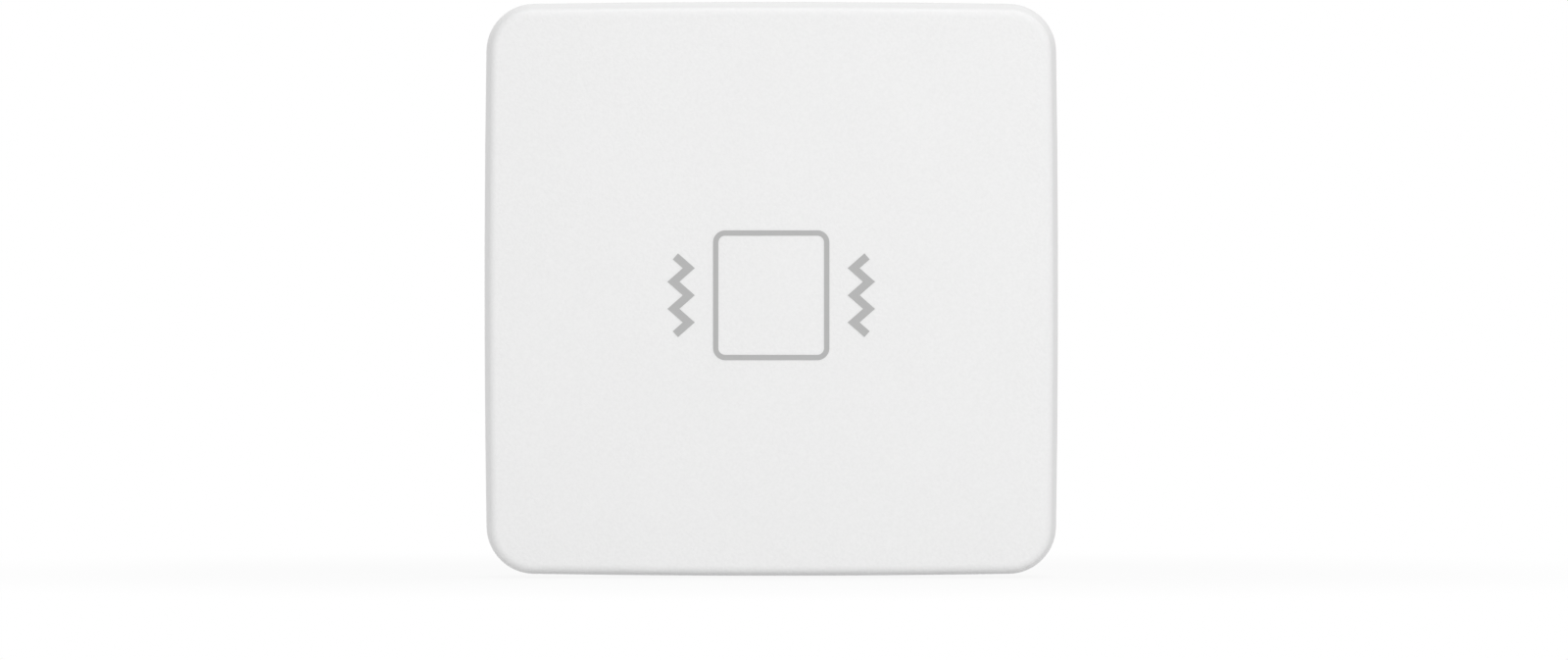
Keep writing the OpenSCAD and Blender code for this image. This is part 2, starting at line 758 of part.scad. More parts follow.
module board_screws() {
  color("#9a9da1") stand() for (at = screw_posts) difference() {
    union() {
      post(at, screw_d, z_board - screw_bite, z_top + sink);
      post(at, screw_head_d, z_top, z_top + screw_head_h);
    }
    for (turn = [0, 90])
      translate([at[0], at[1]]) rotate(turn)
        block([0, 0], [screw_head_d * recess_span, recess_w], z_top + screw_head_h - recess_deep,
          z_top + screw_head_h + reach);
  }
}

module radio_module() {
  color("#12543a") stand() block(radio_at, [radio_w, radio_h], z_top, z_top + radio_t);
}

module radio_chip() {
  low = z_top + radio_t;
  color("#26282a") stand() block(shield_at, [chip_side, chip_side], low, low + chip_deep);
}

module radio_shield() {
  low = z_top + radio_t;
  color("#c3c6c8") stand() difference() {
    block(shield_at, [shield_w, shield_h], low, low + shield_deep);
    block(shield_at, [shield_w - 2 * shield_t, shield_h - 2 * shield_t], low - reach,
      low + shield_deep - shield_t);
  }
}

// Meander on the top end of the radio module: upright fingers joined at alternate ends
module antenna_trace() {
  pitch = (radio_w - 2 * trace_w - trace_w) / (antenna_fingers - 1);
  left = radio_at[0] - radio_w / 2 + trace_w;
  top = radio_at[1] + radio_h / 2 - trace_w;
  color("#d4a94a") stand() translate([left, top, z_top + radio_t]) linear_extrude(trace_t) {
    for (i = [0:antenna_fingers - 1]) translate([i * pitch, -antenna_len]) square([trace_w, antenna_len]);
    for (i = [0:antenna_fingers - 2])
      translate([i * pitch, i % 2 == 0 ? -trace_w : -antenna_len]) square([pitch + trace_w, trace_w]);
  }
}

dot_d = 0.5;
dot_deep = 0.08;

module accelerometer() {
  corner = motion_side / 2 - dot_d;
  color("#2b2d2f") stand() difference() {
    block(motion_at, [motion_side, motion_side], z_top, z_top + motion_deep);
    post(motion_at + [-corner, corner], dot_d, z_top + motion_deep - dot_deep,
      z_top + motion_deep + reach);
  }
}

lens_d = 1.9;
lens_h = 0.5;

module status_led() {
  color("#f3efdd") stand() {
    block(lamp_at, [lamp_len, lamp_w], z_top, z_top + lamp_h);
    post(lamp_at, lens_d, z_top + lamp_h / 2, z_top + lamp_h + lens_h);
  }
}

// Levels inside the reset switch
reset_floor = 1;
collar_play = 0.05;
collar_low = z_top + reset_floor + button_travel + button_gap;
collar_high = z_top + reset_body_h - collar_play;

module reset_switch_body() {
  color("#1f2123") stand() difference() {
    block(reset_at, [reset_side, reset_side], z_top, z_top + reset_body_h);
    post(reset_at, collar_d + 2 * button_gap, z_top + reset_floor, z_top + reset_body_h + reach);
  }
}

module reset_switch_plate() {
  low = z_top + reset_body_h;
  color("#c8cacc") stand() difference() {
    block(reset_at, [reset_side, reset_side], low, low + reset_plate_t);
    post(reset_at, button_d + 2 * button_gap, low - reach, low + reset_plate_t + reach);
  }
}

module reset_button() {
  color("#2a2c2e") stand() {
    post(reset_at, collar_d, collar_low, collar_high);
    post(reset_at, button_d, collar_low + sink, z_top + reset_body_h + reset_plate_t + button_rise);
  }
}

module sensitivity_switch_base() {
  w = 2 * (slide_t + slide_gap);
  color("#2c2a26") stand() block(slide_at, [slide_len - w, slide_w - w], z_top, z_top + slide_base_h);
}

module sensitivity_switch_shell() {
  high = z_top + slide_h;
  slot_len = knob_len + 2 * (knob_travel + slide_gap);
  color("#c8cacc") stand() difference() {
    block(slide_at, [slide_len, slide_w], z_top, high);
    block(slide_at, [slide_len - 2 * slide_t, slide_w - 2 * slide_t], z_top - reach, high - slide_t);
    block(slide_at, [slot_len, knob_w + 2 * slide_gap], high - reach, high + reach);
  }
}

// Carriage inside the shell, with the knob that stands out of its slot
module sensitivity_knob() {
  room = slide_len / 2 - slide_t - slide_gap - knob_travel;
  carriage_w = slide_w - 2 * (slide_t + slide_gap);
  low = z_top + slide_base_h + slide_gap;
  high = z_top + slide_h - slide_t - slide_gap;
  color("#f1f0ec") stand() {
    block(slide_at, [2 * room, carriage_w], low, high);
    block(slide_at, [knob_len, knob_w], high - sink, z_top + slide_h + knob_rise);
  }
}

leg_t = 0.25;
leg_w = 0.7;
leg_len = 1;
slide_leg_pitch = 2.5;
reset_leg_half = 2;

// Solder legs: two on either side of the reset switch, three below the slide switch
module switch_legs() {
  color("#d0d2d4") stand() {
    for (side = [-1, 1], row = [-1, 1])
      block(reset_at + [side * (reset_side + leg_len) / 2, row * reset_leg_half], [leg_len, leg_w],
        z_top, z_top + leg_t);
    for (i = [-1:1])
      block(slide_at + [i * slide_leg_pitch, -(slide_w + leg_len) / 2], [leg_w, leg_len],
        z_top, z_top + leg_t);
  }
}

foot_h = 1.2;
foot_spare = 0.3;
foot_cut = 1.2;
neck_h = 0.5;
neck_in = 0.3;
can_soft = 0.4;

module bulk_capacitor_foot() {
  w = bulk_d / 2 + foot_spare;
  color("#1c1d1f") stand() translate([bulk_at[0], bulk_at[1], z_top]) linear_extrude(foot_h)
    polygon([[-w, -w], [w, -w], [w, w - foot_cut], [w - foot_cut, w], [-w + foot_cut, w],
      [-w, w - foot_cut]]);
}

// Drawn can with a rolled neck above its foot
module bulk_capacitor() {
  r = bulk_d / 2;
  color("#c9cbcd") stand() translate([bulk_at[0], bulk_at[1], z_top]) rotate_extrude()
    polygon([[0, foot_h], [r, foot_h], [r, foot_h + neck_h], [r - neck_in, foot_h + 2 * neck_h],
      [r, foot_h + 3 * neck_h], [r, bulk_h - can_soft], [r - can_soft, bulk_h], [0, bulk_h]]);
}

crystal_step = 0.3;

module crystal() {
  size = [crystal_len, crystal_w];
  color("#bfc1c3") stand() {
    block(crystal_at, size, z_top, z_top + crystal_deep - crystal_step);
    block(crystal_at, size - [crystal_step, crystal_step], z_top + sink, z_top + crystal_deep);
  }
}

// Bodies, or metal ends, of a row of chips
module chip_body(place, deep) {
  translate([place[0], place[1]]) rotate(place[2])
    block([0, 0], [smd_len - 2 * smd_end, smd_w], z_top, z_top + deep);
}

module chip_end_pair(place, deep) {
  for (side = [-1, 1])
    translate([place[0], place[1]]) rotate(place[2])
      block([side * (smd_len - smd_end) / 2, 0], [smd_end, smd_w], z_top, z_top + deep);
}

module chip_capacitors() {
  color("#b08d62") stand() for (place = capacitors_at) chip_body(place, capacitor_deep);
}

module chip_resistors() {
  color("#222426") stand() for (place = resistors_at) chip_body(place, resistor_deep);
}

module chip_ends() {
  color("#d7d8d9") stand() {
    for (place = capacitors_at) chip_end_pair(place, capacitor_deep);
    for (place = resistors_at) chip_end_pair(place, resistor_deep);
  }
}

front_cover();
icon_print();
rear_base();
adhesive_pad();
lower_cell_can();
lower_cell_sleeve();
upper_cell_can();
upper_cell_sleeve();
bridge_contact();
bridge_spring();
positive_contact();
negative_contact();
negative_spring();
circuit_board();
board_screws();
radio_module();
radio_chip();
radio_shield();
antenna_trace();
accelerometer();
status_led();
reset_switch_body();
reset_switch_plate();
reset_button();
sensitivity_switch_base();
sensitivity_switch_shell();
sensitivity_knob();
switch_legs();
bulk_capacitor();
bulk_capacitor_foot();
crystal();
chip_capacitors();
chip_resistors();
chip_ends();
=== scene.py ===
import json
import math

import bmesh
import bpy
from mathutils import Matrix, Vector


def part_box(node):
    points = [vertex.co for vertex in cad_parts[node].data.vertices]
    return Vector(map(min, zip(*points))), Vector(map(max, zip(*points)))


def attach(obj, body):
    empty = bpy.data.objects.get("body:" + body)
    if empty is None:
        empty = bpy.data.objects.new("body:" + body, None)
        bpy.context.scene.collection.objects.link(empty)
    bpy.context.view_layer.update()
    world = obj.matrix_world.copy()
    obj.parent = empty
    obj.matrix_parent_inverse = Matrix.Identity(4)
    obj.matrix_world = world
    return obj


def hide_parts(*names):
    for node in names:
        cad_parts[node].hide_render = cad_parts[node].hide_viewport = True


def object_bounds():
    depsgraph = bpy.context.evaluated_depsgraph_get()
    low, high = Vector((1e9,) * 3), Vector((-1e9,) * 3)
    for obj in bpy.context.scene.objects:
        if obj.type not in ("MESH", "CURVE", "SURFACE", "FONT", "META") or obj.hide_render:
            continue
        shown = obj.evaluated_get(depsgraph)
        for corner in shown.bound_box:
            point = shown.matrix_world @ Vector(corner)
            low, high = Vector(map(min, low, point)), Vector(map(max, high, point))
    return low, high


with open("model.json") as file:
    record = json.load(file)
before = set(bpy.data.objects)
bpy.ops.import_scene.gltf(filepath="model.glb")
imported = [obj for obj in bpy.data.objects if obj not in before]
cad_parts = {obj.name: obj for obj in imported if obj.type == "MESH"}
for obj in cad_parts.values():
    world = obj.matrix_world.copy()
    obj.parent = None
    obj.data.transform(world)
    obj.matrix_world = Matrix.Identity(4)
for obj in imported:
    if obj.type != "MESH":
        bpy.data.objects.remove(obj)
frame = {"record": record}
cad_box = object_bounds()

# Places are told on the lying tag, in millimetres: x to the right, y up the face, z from wall to front

MM = 0.001
OUT = Vector((0, -1, 0))  # from the wall to the front, in the upright frame
SAME = 0.001  # heights closer than this are one level
record = frame["record"]
BODY_OF = {node: body for body, nodes in record["behaviour"]["bodies"].items() for node in nodes}

# Sizes of the case and the cells, as the solids have them

CASE_HALF = 29.99  # from the middle to the cover's rim, at the middle of a side
CORNER_R = 4.99  # corners of the cover's rim
SIDE_BOW = 0.2  # how far a side swells at its middle
EDGE_R = 0.8  # rounding of the front edge
DRAFT = math.radians(2.5)  # taper of the cover's side walls
COVER_WALL = 1.6  # side walls at the rim
COVER_SLOPE = 0.8  # hollow corner between the side walls and the front wall
RIM_IN = 3.05  # from the outline to the inner side of the base's rim
Z_COVER = 2.55  # the cover's rim
Z_STOP = 8.5  # landing faces of the cover's stops
Z_RIB = 13.45  # free edges of the cover's ribs
Z_FACE_IN = 14.2  # inner side of the front wall
Z_LAMP_SPOT = 15.3  # bottom of the thinned spot in front of the lamp
Z_FRONT = 16.0  # front face
CAP_H = 0.9  # positive cap of a cell
SINK = 0.3  # how far a solid runs into the one that it is joined to


# Modelling with operators


def row(x, y, z):
    """A place on the lying tag in the upright frame, in metres."""
    return Vector((x, -z, y)) * MM


def lying_box(node):
    """Lowest and highest corner of a solid on the lying tag."""
    low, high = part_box(node)
    return Vector((low.x, low.z, -high.y)) / MM, Vector((high.x, high.z, -low.y)) / MM


def lying_middle(node):
    """Middle of a solid's box on the lying tag."""
    low, high = lying_box(node)
    return (low + high) / 2


def let_go():
    """Leaves edit mode and deselects everything."""
    if bpy.context.mode != "OBJECT":
        bpy.ops.object.mode_set(mode="OBJECT")
    bpy.ops.object.select_all(action="DESELECT")


def take(piece):
    """Selects one piece alone."""
    let_go()
    piece.select_set(True)
    bpy.context.view_layer.objects.active = piece


def begin(name, add, **settings):
    """Adds a primitive, names it and opens it for editing, all selected."""
    let_go()
    add(**settings)
    piece = bpy.context.object
    piece.name = piece.data.name = name
    bpy.ops.object.transform_apply(location=False, rotation=False, scale=True)
    bpy.ops.object.mode_set(mode="EDIT")
    bpy.ops.mesh.select_mode(type="VERT")
    bpy.ops.mesh.select_all(action="SELECT")
    return piece


def pick(kind, test):
    """Selects the edges or faces of the piece in hand whose middle on the lying tag passes a test."""
    bpy.ops.mesh.select_mode(type=kind)
    bpy.ops.mesh.select_all(action="DESELECT")
    piece = bpy.context.edit_object
    mesh = bmesh.from_edit_mesh(piece.data)
    for part in mesh.edges if kind == "EDGE" else mesh.faces:
        middle = sum((point.co for point in part.verts), Vector()) / len(part.verts)
        middle = piece.matrix_world @ middle / MM
        if test(middle.x, middle.z, -middle.y):
            part.select_set(True)
    mesh.select_flush_mode()
    bmesh.update_edit_mesh(piece.data)


def close_up(merge=0.002):
    """Merges doubled points and turns every face outwards."""
    bpy.ops.mesh.select_mode(type="VERT")
    bpy.ops.mesh.select_all(action="SELECT")
    bpy.ops.mesh.remove_doubles(threshold=merge * MM)
    bpy.ops.mesh.normals_make_consistent(inside=False)


def finish_modifier(piece, kind, **settings):
    """Adds a modifier and applies it."""
    take(piece)
    modifier = piece.modifiers.new(kind.lower(), kind)
    for key, value in settings.items():
        setattr(modifier, key, value)
    bpy.ops.object.modifier_apply(modifier=modifier.name)


def settle(piece, smooth=40):
    """Leaves edit mode with the piece's place in its mesh, and smooths what bends less than an angle."""
    take(piece)
    bpy.ops.object.transform_apply(location=True, rotation=True, scale=True)
    bpy.ops.object.shade_smooth_by_angle(angle=math.radians(smooth))
    finish_modifier(piece, "WEIGHTED_NORMAL", keep_sharp=True)
    return piece


def hand_over(piece, finish, node, replaced=True):
    """Gives a piece its finish and the body of a solid, which it replaces or joins."""
    piece.data.materials.clear()
    piece.data.materials.append(finish)
    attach(piece, BODY_OF[node])
    if replaced:
        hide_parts(node)
    return piece


def combine(piece, tool, operation):
    """Joins a tool's solid into a piece, or cuts it out, and takes the tool away."""
    let_go()
    finish_modifier(piece, "BOOLEAN", operation=operation, solver="EXACT", use_self=True, object=tool)
    bpy.data.objects.remove(tool)


def gather(name, parts):
    """Makes one piece of several."""
    take(parts[0])
    for part in parts:
        part.select_set(True)
    if len(parts) > 1:
        bpy.ops.object.join()
    parts[0].name = parts[0].data.name = name
    return parts[0]


def copy_to(piece, place, turn=0.0):
    """A copy of a piece that was drawn about the origin, turned on the face and set in place."""
    take(piece)
    bpy.ops.object.duplicate()
    copy = bpy.context.object
    copy.location = place
    copy.rotation_euler = (0, -turn, 0)
    return copy


def draw_line(name, points):
    """Draws a chain of points by extruding one point from place to place."""
    piece = begin(name, bpy.ops.mesh.primitive_plane_add, size=MM, location=points[0])
    bpy.ops.mesh.merge(type="CENTER")
    for here, there in zip(points, points[1:]):
        bpy.ops.mesh.extrude_vertices_move(TRANSFORM_OT_translate={"value": there - here})
    return piece


def arc(cx, cy, radius, start, end, steps=5):
    """Points of an arc, from and to quarter turns."""
    turns = [(start + (end - start) * i / steps) * math.pi / 2 for i in range(steps + 1)]
    return [(cx + radius * math.cos(t), cy + radius * math.sin(t)) for t in turns]


def turn_piece(name, profile, centre, along, steps=64):
    """Turns a profile, (distance from the axis, distance along it), once about an axis."""
    across = along.orthogonal().normalized()
    piece = draw_line(name, [centre + (across * r + along * h) * MM for r, h in profile])
    bpy.ops.mesh.select_all(action="SELECT")
    bpy.ops.mesh.spin(steps=steps, angle=2 * math.pi, center=centre, axis=along, use_auto_merge=False)
    close_up()
    return piece


def drill(name, radius, deep, place, steps):
    """Cutter for a round hole that goes deep into a wall towards the front."""
    start = -1.0
    profile = [(0, start), (radius, start), (radius, deep), (0, deep)]
    return turn_piece(name, profile, place, OUT, steps)


def add_block(name, low, high, soft=0.0, steps=2, turn=0.0):
    """A block between two corners on the lying tag, its edges rounded, turned about its own middle."""
    low, high = row(*low), row(*high)
    size = [abs(s) for s in high - low]
    piece = begin(name, bpy.ops.mesh.primitive_cube_add, size=1, location=(low + high) / 2,
                  rotation=(0, -turn, 0), scale=size)
    if soft:
        bpy.ops.mesh.bevel(offset=soft * MM, segments=steps, affect="EDGES")
    return piece


def soften(node, name, rounding, steps=2):
    """A copy of a solid with its flat faces whole and its sharp edges rounded."""
    flat = math.radians(0.1)
    sharp = math.radians(35)
    let_go()
    piece = bpy.data.objects.new(name, bpy.data.objects[node].data.copy())
    piece.data.name = name
    bpy.context.collection.objects.link(piece)
    take(piece)
    bpy.ops.mesh.customdata_custom_splitnormals_clear()
    bpy.ops.object.mode_set(mode="EDIT")
    close_up(merge=0.001)
    bpy.ops.mesh.dissolve_limited(angle_limit=flat)
    finish_modifier(piece, "BEVEL", width=rounding * MM, segments=steps,
                    limit_method="ANGLE", angle_limit=sharp)
    return settle(piece)


# The case's outline: four sides about far axes and four corners, smooth into each other

BOW_R = ((CASE_HALF - CORNER_R) ** 2 + SIDE_BOW**2) / (2 * SIDE_BOW)
BOW_AXIS = BOW_R - CASE_HALF
CORNER_C = (math.sqrt(2 * (BOW_R - CORNER_R) ** 2 - BOW_AXIS**2) - BOW_AXIS) / 2
SIDE_TURN = math.atan(CORNER_C / (CORNER_C + BOW_AXIS))
SIDE_STEPS = 6
CORNER_STEPS = 18


def sweep_outline():
    """Turns the drawn section, in hand at the right side's middle, once round the outline."""
    pivots = [(1, 0), (1, 1), (0, 1), (-1, 1), (-1, 0), (-1, -1), (0, -1), (1, -1), (1, 0)]
    bpy.ops.mesh.select_all(action="SELECT")
    for i, (a, b) in enumerate(pivots):
        if a and b:
            centre = row(a * CORNER_C, b * CORNER_C, 0)
            turn = math.pi / 2 - 2 * SIDE_TURN
            steps = CORNER_STEPS
        else:
            centre = row(-a * BOW_AXIS, -b * BOW_AXIS, 0)
            turn = 2 * SIDE_TURN
            steps = 2 * SIDE_STEPS
        if i in (0, len(pivots) - 1):
            turn /= 2
            steps //= 2
        bpy.ops.mesh.spin(steps=steps, angle=turn, center=centre, axis=(0, 1, 0), use_auto_merge=False)


def fill_level(level):
    """Closes the open ring of edges that lies at a level."""
    bpy.ops.mesh.select_mode(type="EDGE")
    bpy.ops.mesh.select_all(action="DESELECT")
    bpy.ops.mesh.select_non_manifold(
        use_wire=False,
        use_multi_face=False,
        use_non_contiguous=False,
        use_verts=False,
    )
    piece = bpy.context.edit_object
    mesh = bmesh.from_edit_mesh(piece.data)
    for edge in mesh.edges:
        height = -(piece.matrix_world @ edge.verts[0].co).y / MM
        if edge.select and abs(height - level) > SAME:
            edge.select_set(False)
    mesh.select_flush_mode()
    bmesh.update_edit_mesh(piece.data)
    bpy.ops.mesh.edge_face_add()


def cover_section():
    """Section of the cover's wall from the front face, round the edge, down to the rim and up inside."""
    reach = 4.2  # how far the front wall is drawn inwards
    flank = 0.12  # short flats beside the front edge and the rim
    rim_soft = 0.2
    edge_z = Z_FRONT - EDGE_R
    edge_x = -(edge_z - Z_COVER) * math.tan(DRAFT) - EDGE_R / math.cos(DRAFT)
    points = [(-reach, Z_FRONT), (edge_x - flank, Z_FRONT)]
    points += arc(edge_x, edge_z, EDGE_R, 1, DRAFT / (math.pi / 2), steps=12)
    x, z = points[-1]
    points += [(x + flank * math.sin(DRAFT), z - flank)]
    points += [(-(rim_soft + flank) * math.tan(DRAFT), Z_COVER + rim_soft + flank)]
    points += arc(-rim_soft, Z_COVER + rim_soft, rim_soft, 0, -1, steps=4)
    points += arc(-COVER_WALL + rim_soft, Z_COVER + rim_soft, rim_soft, -1, -2, steps=4)
    points += arc(-COVER_WALL - COVER_SLOPE, Z_FACE_IN - COVER_SLOPE, COVER_SLOPE, 0, 1, steps=6)
    points += [(-reach, Z_FACE_IN)]
    return points


def cover_ribs():
    """Ribs over the two cells."""
    rib_x, rib_y = 14.0, -15.5
    half, length, soft = 0.6, 16.25, 0.2
    return [
        add_block("rib", (side * rib_x - half, rib_y - length / 2, Z_RIB),
                  (side * rib_x + half, rib_y + length / 2, Z_FACE_IN + SINK), soft)
        for side in (-1, 1)
    ]


def cover_stops():
    """Stops that land on the base's rim, two to a side."""
    share = 0.4  # place of a stop, from the middle of a side towards its end
    half_w, soft = 1.5, 0.25
    half_deep = (RIM_IN - COVER_WALL + SINK) / 2
    away = BOW_R + (SINK - RIM_IN - COVER_WALL) / 2
    stops = []
    for quarter in range(4):
        turn = quarter * math.pi / 2
        for way in (-1, 1):
            lean = way * share * SIDE_TURN
            right = away * math.cos(lean) - BOW_AXIS
            up = away * math.sin(lean)
            x = right * math.cos(turn) - up * math.sin(turn)
            y = right * math.sin(turn) + up * math.cos(turn)
            low = (x - half_deep, y - half_w, Z_STOP)
            high = (x + half_deep, y + half_w, Z_FACE_IN + SINK)
            stops.append(add_block("stop", low, high, soft, turn=turn + lean))
    return stops


def cover_cuts():
    """Thinned spot in front of the lamp and shallow marks of the mould's pins."""
    spot_r, pin_r, pin_deep = 2.2, 1.5, 0.08
    pin_places = (-20, -4), (20, -4), (-9, 22), (18, 12), (0, -16)
    lamp = lying_middle("status_led")
    cuts = [drill("lamp_spot", spot_r, Z_LAMP_SPOT - Z_FACE_IN, row(lamp.x, lamp.y, Z_FACE_IN), 48)]
    cuts += [drill("pin_mark", pin_r, pin_deep, row(x, y, Z_FACE_IN), 32) for x, y in pin_places]
    return cuts


def model_cover(finish):
    """Deep cap with a rounded front edge, ribs and stops inside."""
    cover = draw_line("cover_moulding", [row(CASE_HALF + x, 0, z) for x, z in cover_section()])
    sweep_outline()
    close_up()
    fill_level(Z_FRONT)
    fill_level(Z_FACE_IN)
    close_up()
    settle(cover)
    combine(cover, gather("cover_inside", cover_ribs() + cover_stops()), "UNION")
    combine(cover, gather("cover_cuts", cover_cuts()), "DIFFERENCE")
    return hand_over(settle(cover), finish, "front_cover")


def model_pad(finish):
    """Foam pad: a rounded square with softly pressed edges."""
    corner_r, edge_soft = 3.0, 0.22
    low, high = lying_box("adhesive_pad")
    middle = (low.z + high.z) / 2
    pad = add_block("foam_pad", low, high)
    pick("EDGE", lambda x, y, z: abs(z - middle) < SAME)
    bpy.ops.mesh.bevel(offset=corner_r * MM, segments=12, affect="EDGES")
    pick("EDGE", lambda x, y, z: abs(z - middle) > SAME)
    bpy.ops.mesh.bevel(offset=edge_soft * MM, segments=4, affect="EDGES")
    close_up()
    return hand_over(settle(pad), finish, "adhesive_pad")


# Cells and their springs, along x: way is 1 where a cell's cap is at the right, and -1 at the left


def cell_axis(cell, way):
    """Middle of a cell's flat end, in the upright frame, and the direction to its cap."""
    low, high = lying_box(f"{cell}_cell_can")
    middle = (low + high) / 2
    return row(low.x if way > 0 else high.x, middle.y, middle.z), Vector((way, 0, 0))


def model_can(cell, way, finish):
    """Can of a cell, crimped round its flat end and round its cap."""
    cap_r, cap_soft = 1.9, 0.3
    groove, groove_deep = 0.45, 0.3
    soft, end_soft, cap_end_soft, crimp = 0.4, 0.15, 0.1, 0.2
    low, high = lying_box(f"{cell}_cell_can")
    length = high.x - low.x
    shoulder = length - CAP_H
    can_r = (high.y - low.y) / 2
    disc_r = can_r - 2 * groove
    profile = [(0, 0)]
    profile += arc(disc_r - crimp, crimp, crimp, -1, 0)
    profile += [(disc_r, crimp + groove_deep), (disc_r + groove, crimp + groove_deep)]
    profile += arc(disc_r + groove + end_soft, crimp + end_soft, end_soft, -2, -1)
    profile += arc(can_r - soft, crimp + soft, soft, -1, 0)
    profile += arc(can_r - soft, shoulder - soft, soft, 0, 1)
    profile += arc(cap_r + 2 * groove + cap_end_soft, shoulder - cap_end_soft, cap_end_soft, 1, 2)
    profile += [(cap_r + 2 * groove, shoulder - groove_deep), (cap_r + groove, shoulder - groove_deep)]
    profile += [(cap_r, shoulder)]
    profile += arc(cap_r - cap_soft, length - cap_soft, cap_soft, 0, 1)
    profile += [(0, length)]
    can = turn_piece(f"{cell}_cell_body", profile, *cell_axis(cell, way))
    return hand_over(settle(can), finish, f"{cell}_cell_can")


def model_film(cell, way, finish):
    """Film shrunk round a cell and turned in over its ends."""
    thick, lip, bend = 0.12, 0.5, 0.5
    can_low, can_high = lying_box(f"{cell}_cell_can")
    low, high = lying_box(f"{cell}_cell_sleeve")
    first = low.x - can_low.x if way > 0 else can_high.x - high.x
    last = first + high.x - low.x
    film_r = (high.y - low.y) / 2
    lip_r = film_r - thick - lip
    profile = [(lip_r, first)]
    profile += arc(film_r - bend, first + bend, bend, -1, 0)
    profile += arc(film_r - bend, last - bend, bend, 0, 1)
    profile += [(lip_r, last), (lip_r, last - thick)]
    profile += arc(film_r - bend, last - bend, bend - thick, 1, 0)
    profile += arc(film_r - bend, first + bend, bend - thick, 0, -1)
    profile += [(lip_r, first + thick), (lip_r, first)]
    film = turn_piece(f"{cell}_cell_film", profile, *cell_axis(cell, way))
    return hand_over(settle(film), finish, f"{cell}_cell_sleeve")


def wind_spring(name, node, cell, way, finish):
    """Conical spring wound from its wide foot on a plate to its narrow tip at a cell's flat end."""
    turns, per_turn = 3, 28
    wire, touch = 0.5, 0.03
    foot_r, tip_r, tall = 3.2, 1.7, 3.5
    tip, along = cell_axis(cell, way)
    foot = tip - along * tall * MM
    points = []
    for i in range(turns * per_turn + 1):
        share = i / (turns * per_turn)
        turn = 2 * math.pi * turns * share
        r = foot_r + (tip_r - foot_r) * share
        h = wire / 2 + touch + (tall - wire - 2 * touch) * share
        points.append(foot + Vector((way * h, -math.sin(turn) * r, -way * math.cos(turn) * r)) * MM)
    take(draw_line(name, points))
    bpy.ops.object.convert(target="CURVE")
    spring = bpy.context.object
    spring.data.dimensions = "3D"
    spring.data.bevel_depth = wire / 2 * MM
    spring.data.bevel_resolution = 3
    spring.data.use_fill_caps = True
    bpy.ops.object.convert(target="MESH")
    spring = bpy.context.object
    bpy.ops.object.mode_set(mode="EDIT")
    close_up(merge=0.001)
    return hand_over(settle(spring, smooth=60), finish, node)


# Pieces on the board

BOARD_LOW, BOARD_HIGH = lying_box("circuit_board")


def model_screws(finish):
    """Two pan-head screws with a cross recess."""
    head_r, head_h, head_soft = 1.8, 1.3, 0.1
    crown_r, crown_drop, crown_turn = 0.75, 0.78, 0.85
    flat_r, flat_drop = 0.5, 0.005
    shaft_r, tip = 1.0, 0.5
    recess, recess_half, recess_deep = 0.5, 0.99, 0.7
    head_turns = 0.35, 1.1
    low, high = lying_box("board_screws")
    seat = high.z - head_h
    profile = [(0, low.z), (shaft_r - tip, low.z), (shaft_r, low.z + tip), (shaft_r, seat)]
    profile += arc(head_r - head_soft, seat + head_soft, head_soft, -1, 0, steps=3)
    profile += arc(head_r - crown_r, high.z - crown_drop, crown_r, 0, crown_turn, steps=6)
    profile += [(flat_r, high.z - flat_drop), (0, high.z)]
    screw = settle(turn_piece("board_screw", profile, row(0, 0, 0), OUT, 48))
    slots = [
        add_block("slot", (-a, -b, high.z - recess_deep), (a, b, high.z + 1))
        for a, b in ((recess_half, recess / 2), (recess / 2, recess_half))
    ]
    combine(screw, gather("recess", slots), "DIFFERENCE")
    places = (low.x + head_r, low.y + head_r), (high.x - head_r, high.y - head_r)
    screws = [copy_to(screw, row(*place, 0), turn) for place, turn in zip(places, head_turns)]
    bpy.data.objects.remove(screw)
    return hand_over(settle(gather("board_screw_pair", screws)), finish, "board_screws")


def model_button(finish):
    """Round key with a collar inside the switch and a dished top."""
    key_r, collar_h, soft, dish = 1.75, 1.75, 0.25, 0.15
    low, high = lying_box("reset_button")
    middle = (low + high) / 2
    collar_r = (high.x - low.x) / 2
    profile = [(0, low.z), (collar_r, low.z), (collar_r, low.z + collar_h), (key_r, low.z + collar_h)]
    profile += arc(key_r - soft, high.z - soft, soft, 0, 1)
    profile += [(key_r - 2 * soft, high.z - 0.4 * dish), (key_r - 3 * soft, high.z - 0.8 * dish)]
    profile += [(0, high.z - dish)]
    button = turn_piece("reset_key_cap", profile, row(middle.x, middle.y, 0), OUT, 48)
    return hand_over(settle(button), finish, "reset_button")


def model_knob(finish):
    """Carriage inside the slide switch and its ridged knob."""
    half_x, half_y, knob_soft = 0.9, 0.75, 0.15
    carriage_h, carriage_soft = 1.95, 0.08
    ridge_half, ridge_h, ridge_pitch, ridge_in, ridge_sunk, ridge_soft = 0.14, 0.18, 0.56, 0.1, 0.15, 0.06
    low, high = lying_box("sensitivity_knob")
    middle = (low + high) / 2
    neck = low.z + carriage_h
    top = high.z - ridge_h
    parts = [
        add_block("carriage", low, (high.x, high.y, neck), carriage_soft),
        add_block("knob", (middle.x - half_x, middle.y - half_y, neck - SINK),
                  (middle.x + half_x, middle.y + half_y, top), knob_soft, steps=3),
    ]
    for i in (-1, 0, 1):
        x = middle.x + i * ridge_pitch
        parts.append(add_block("ridge", (x - ridge_half, middle.y - half_y + ridge_in, top - ridge_sunk),
                               (x + ridge_half, middle.y + half_y - ridge_in, high.z), ridge_soft))
    return hand_over(settle(gather("sensitivity_slider_knob", parts)), finish, "sensitivity_knob")


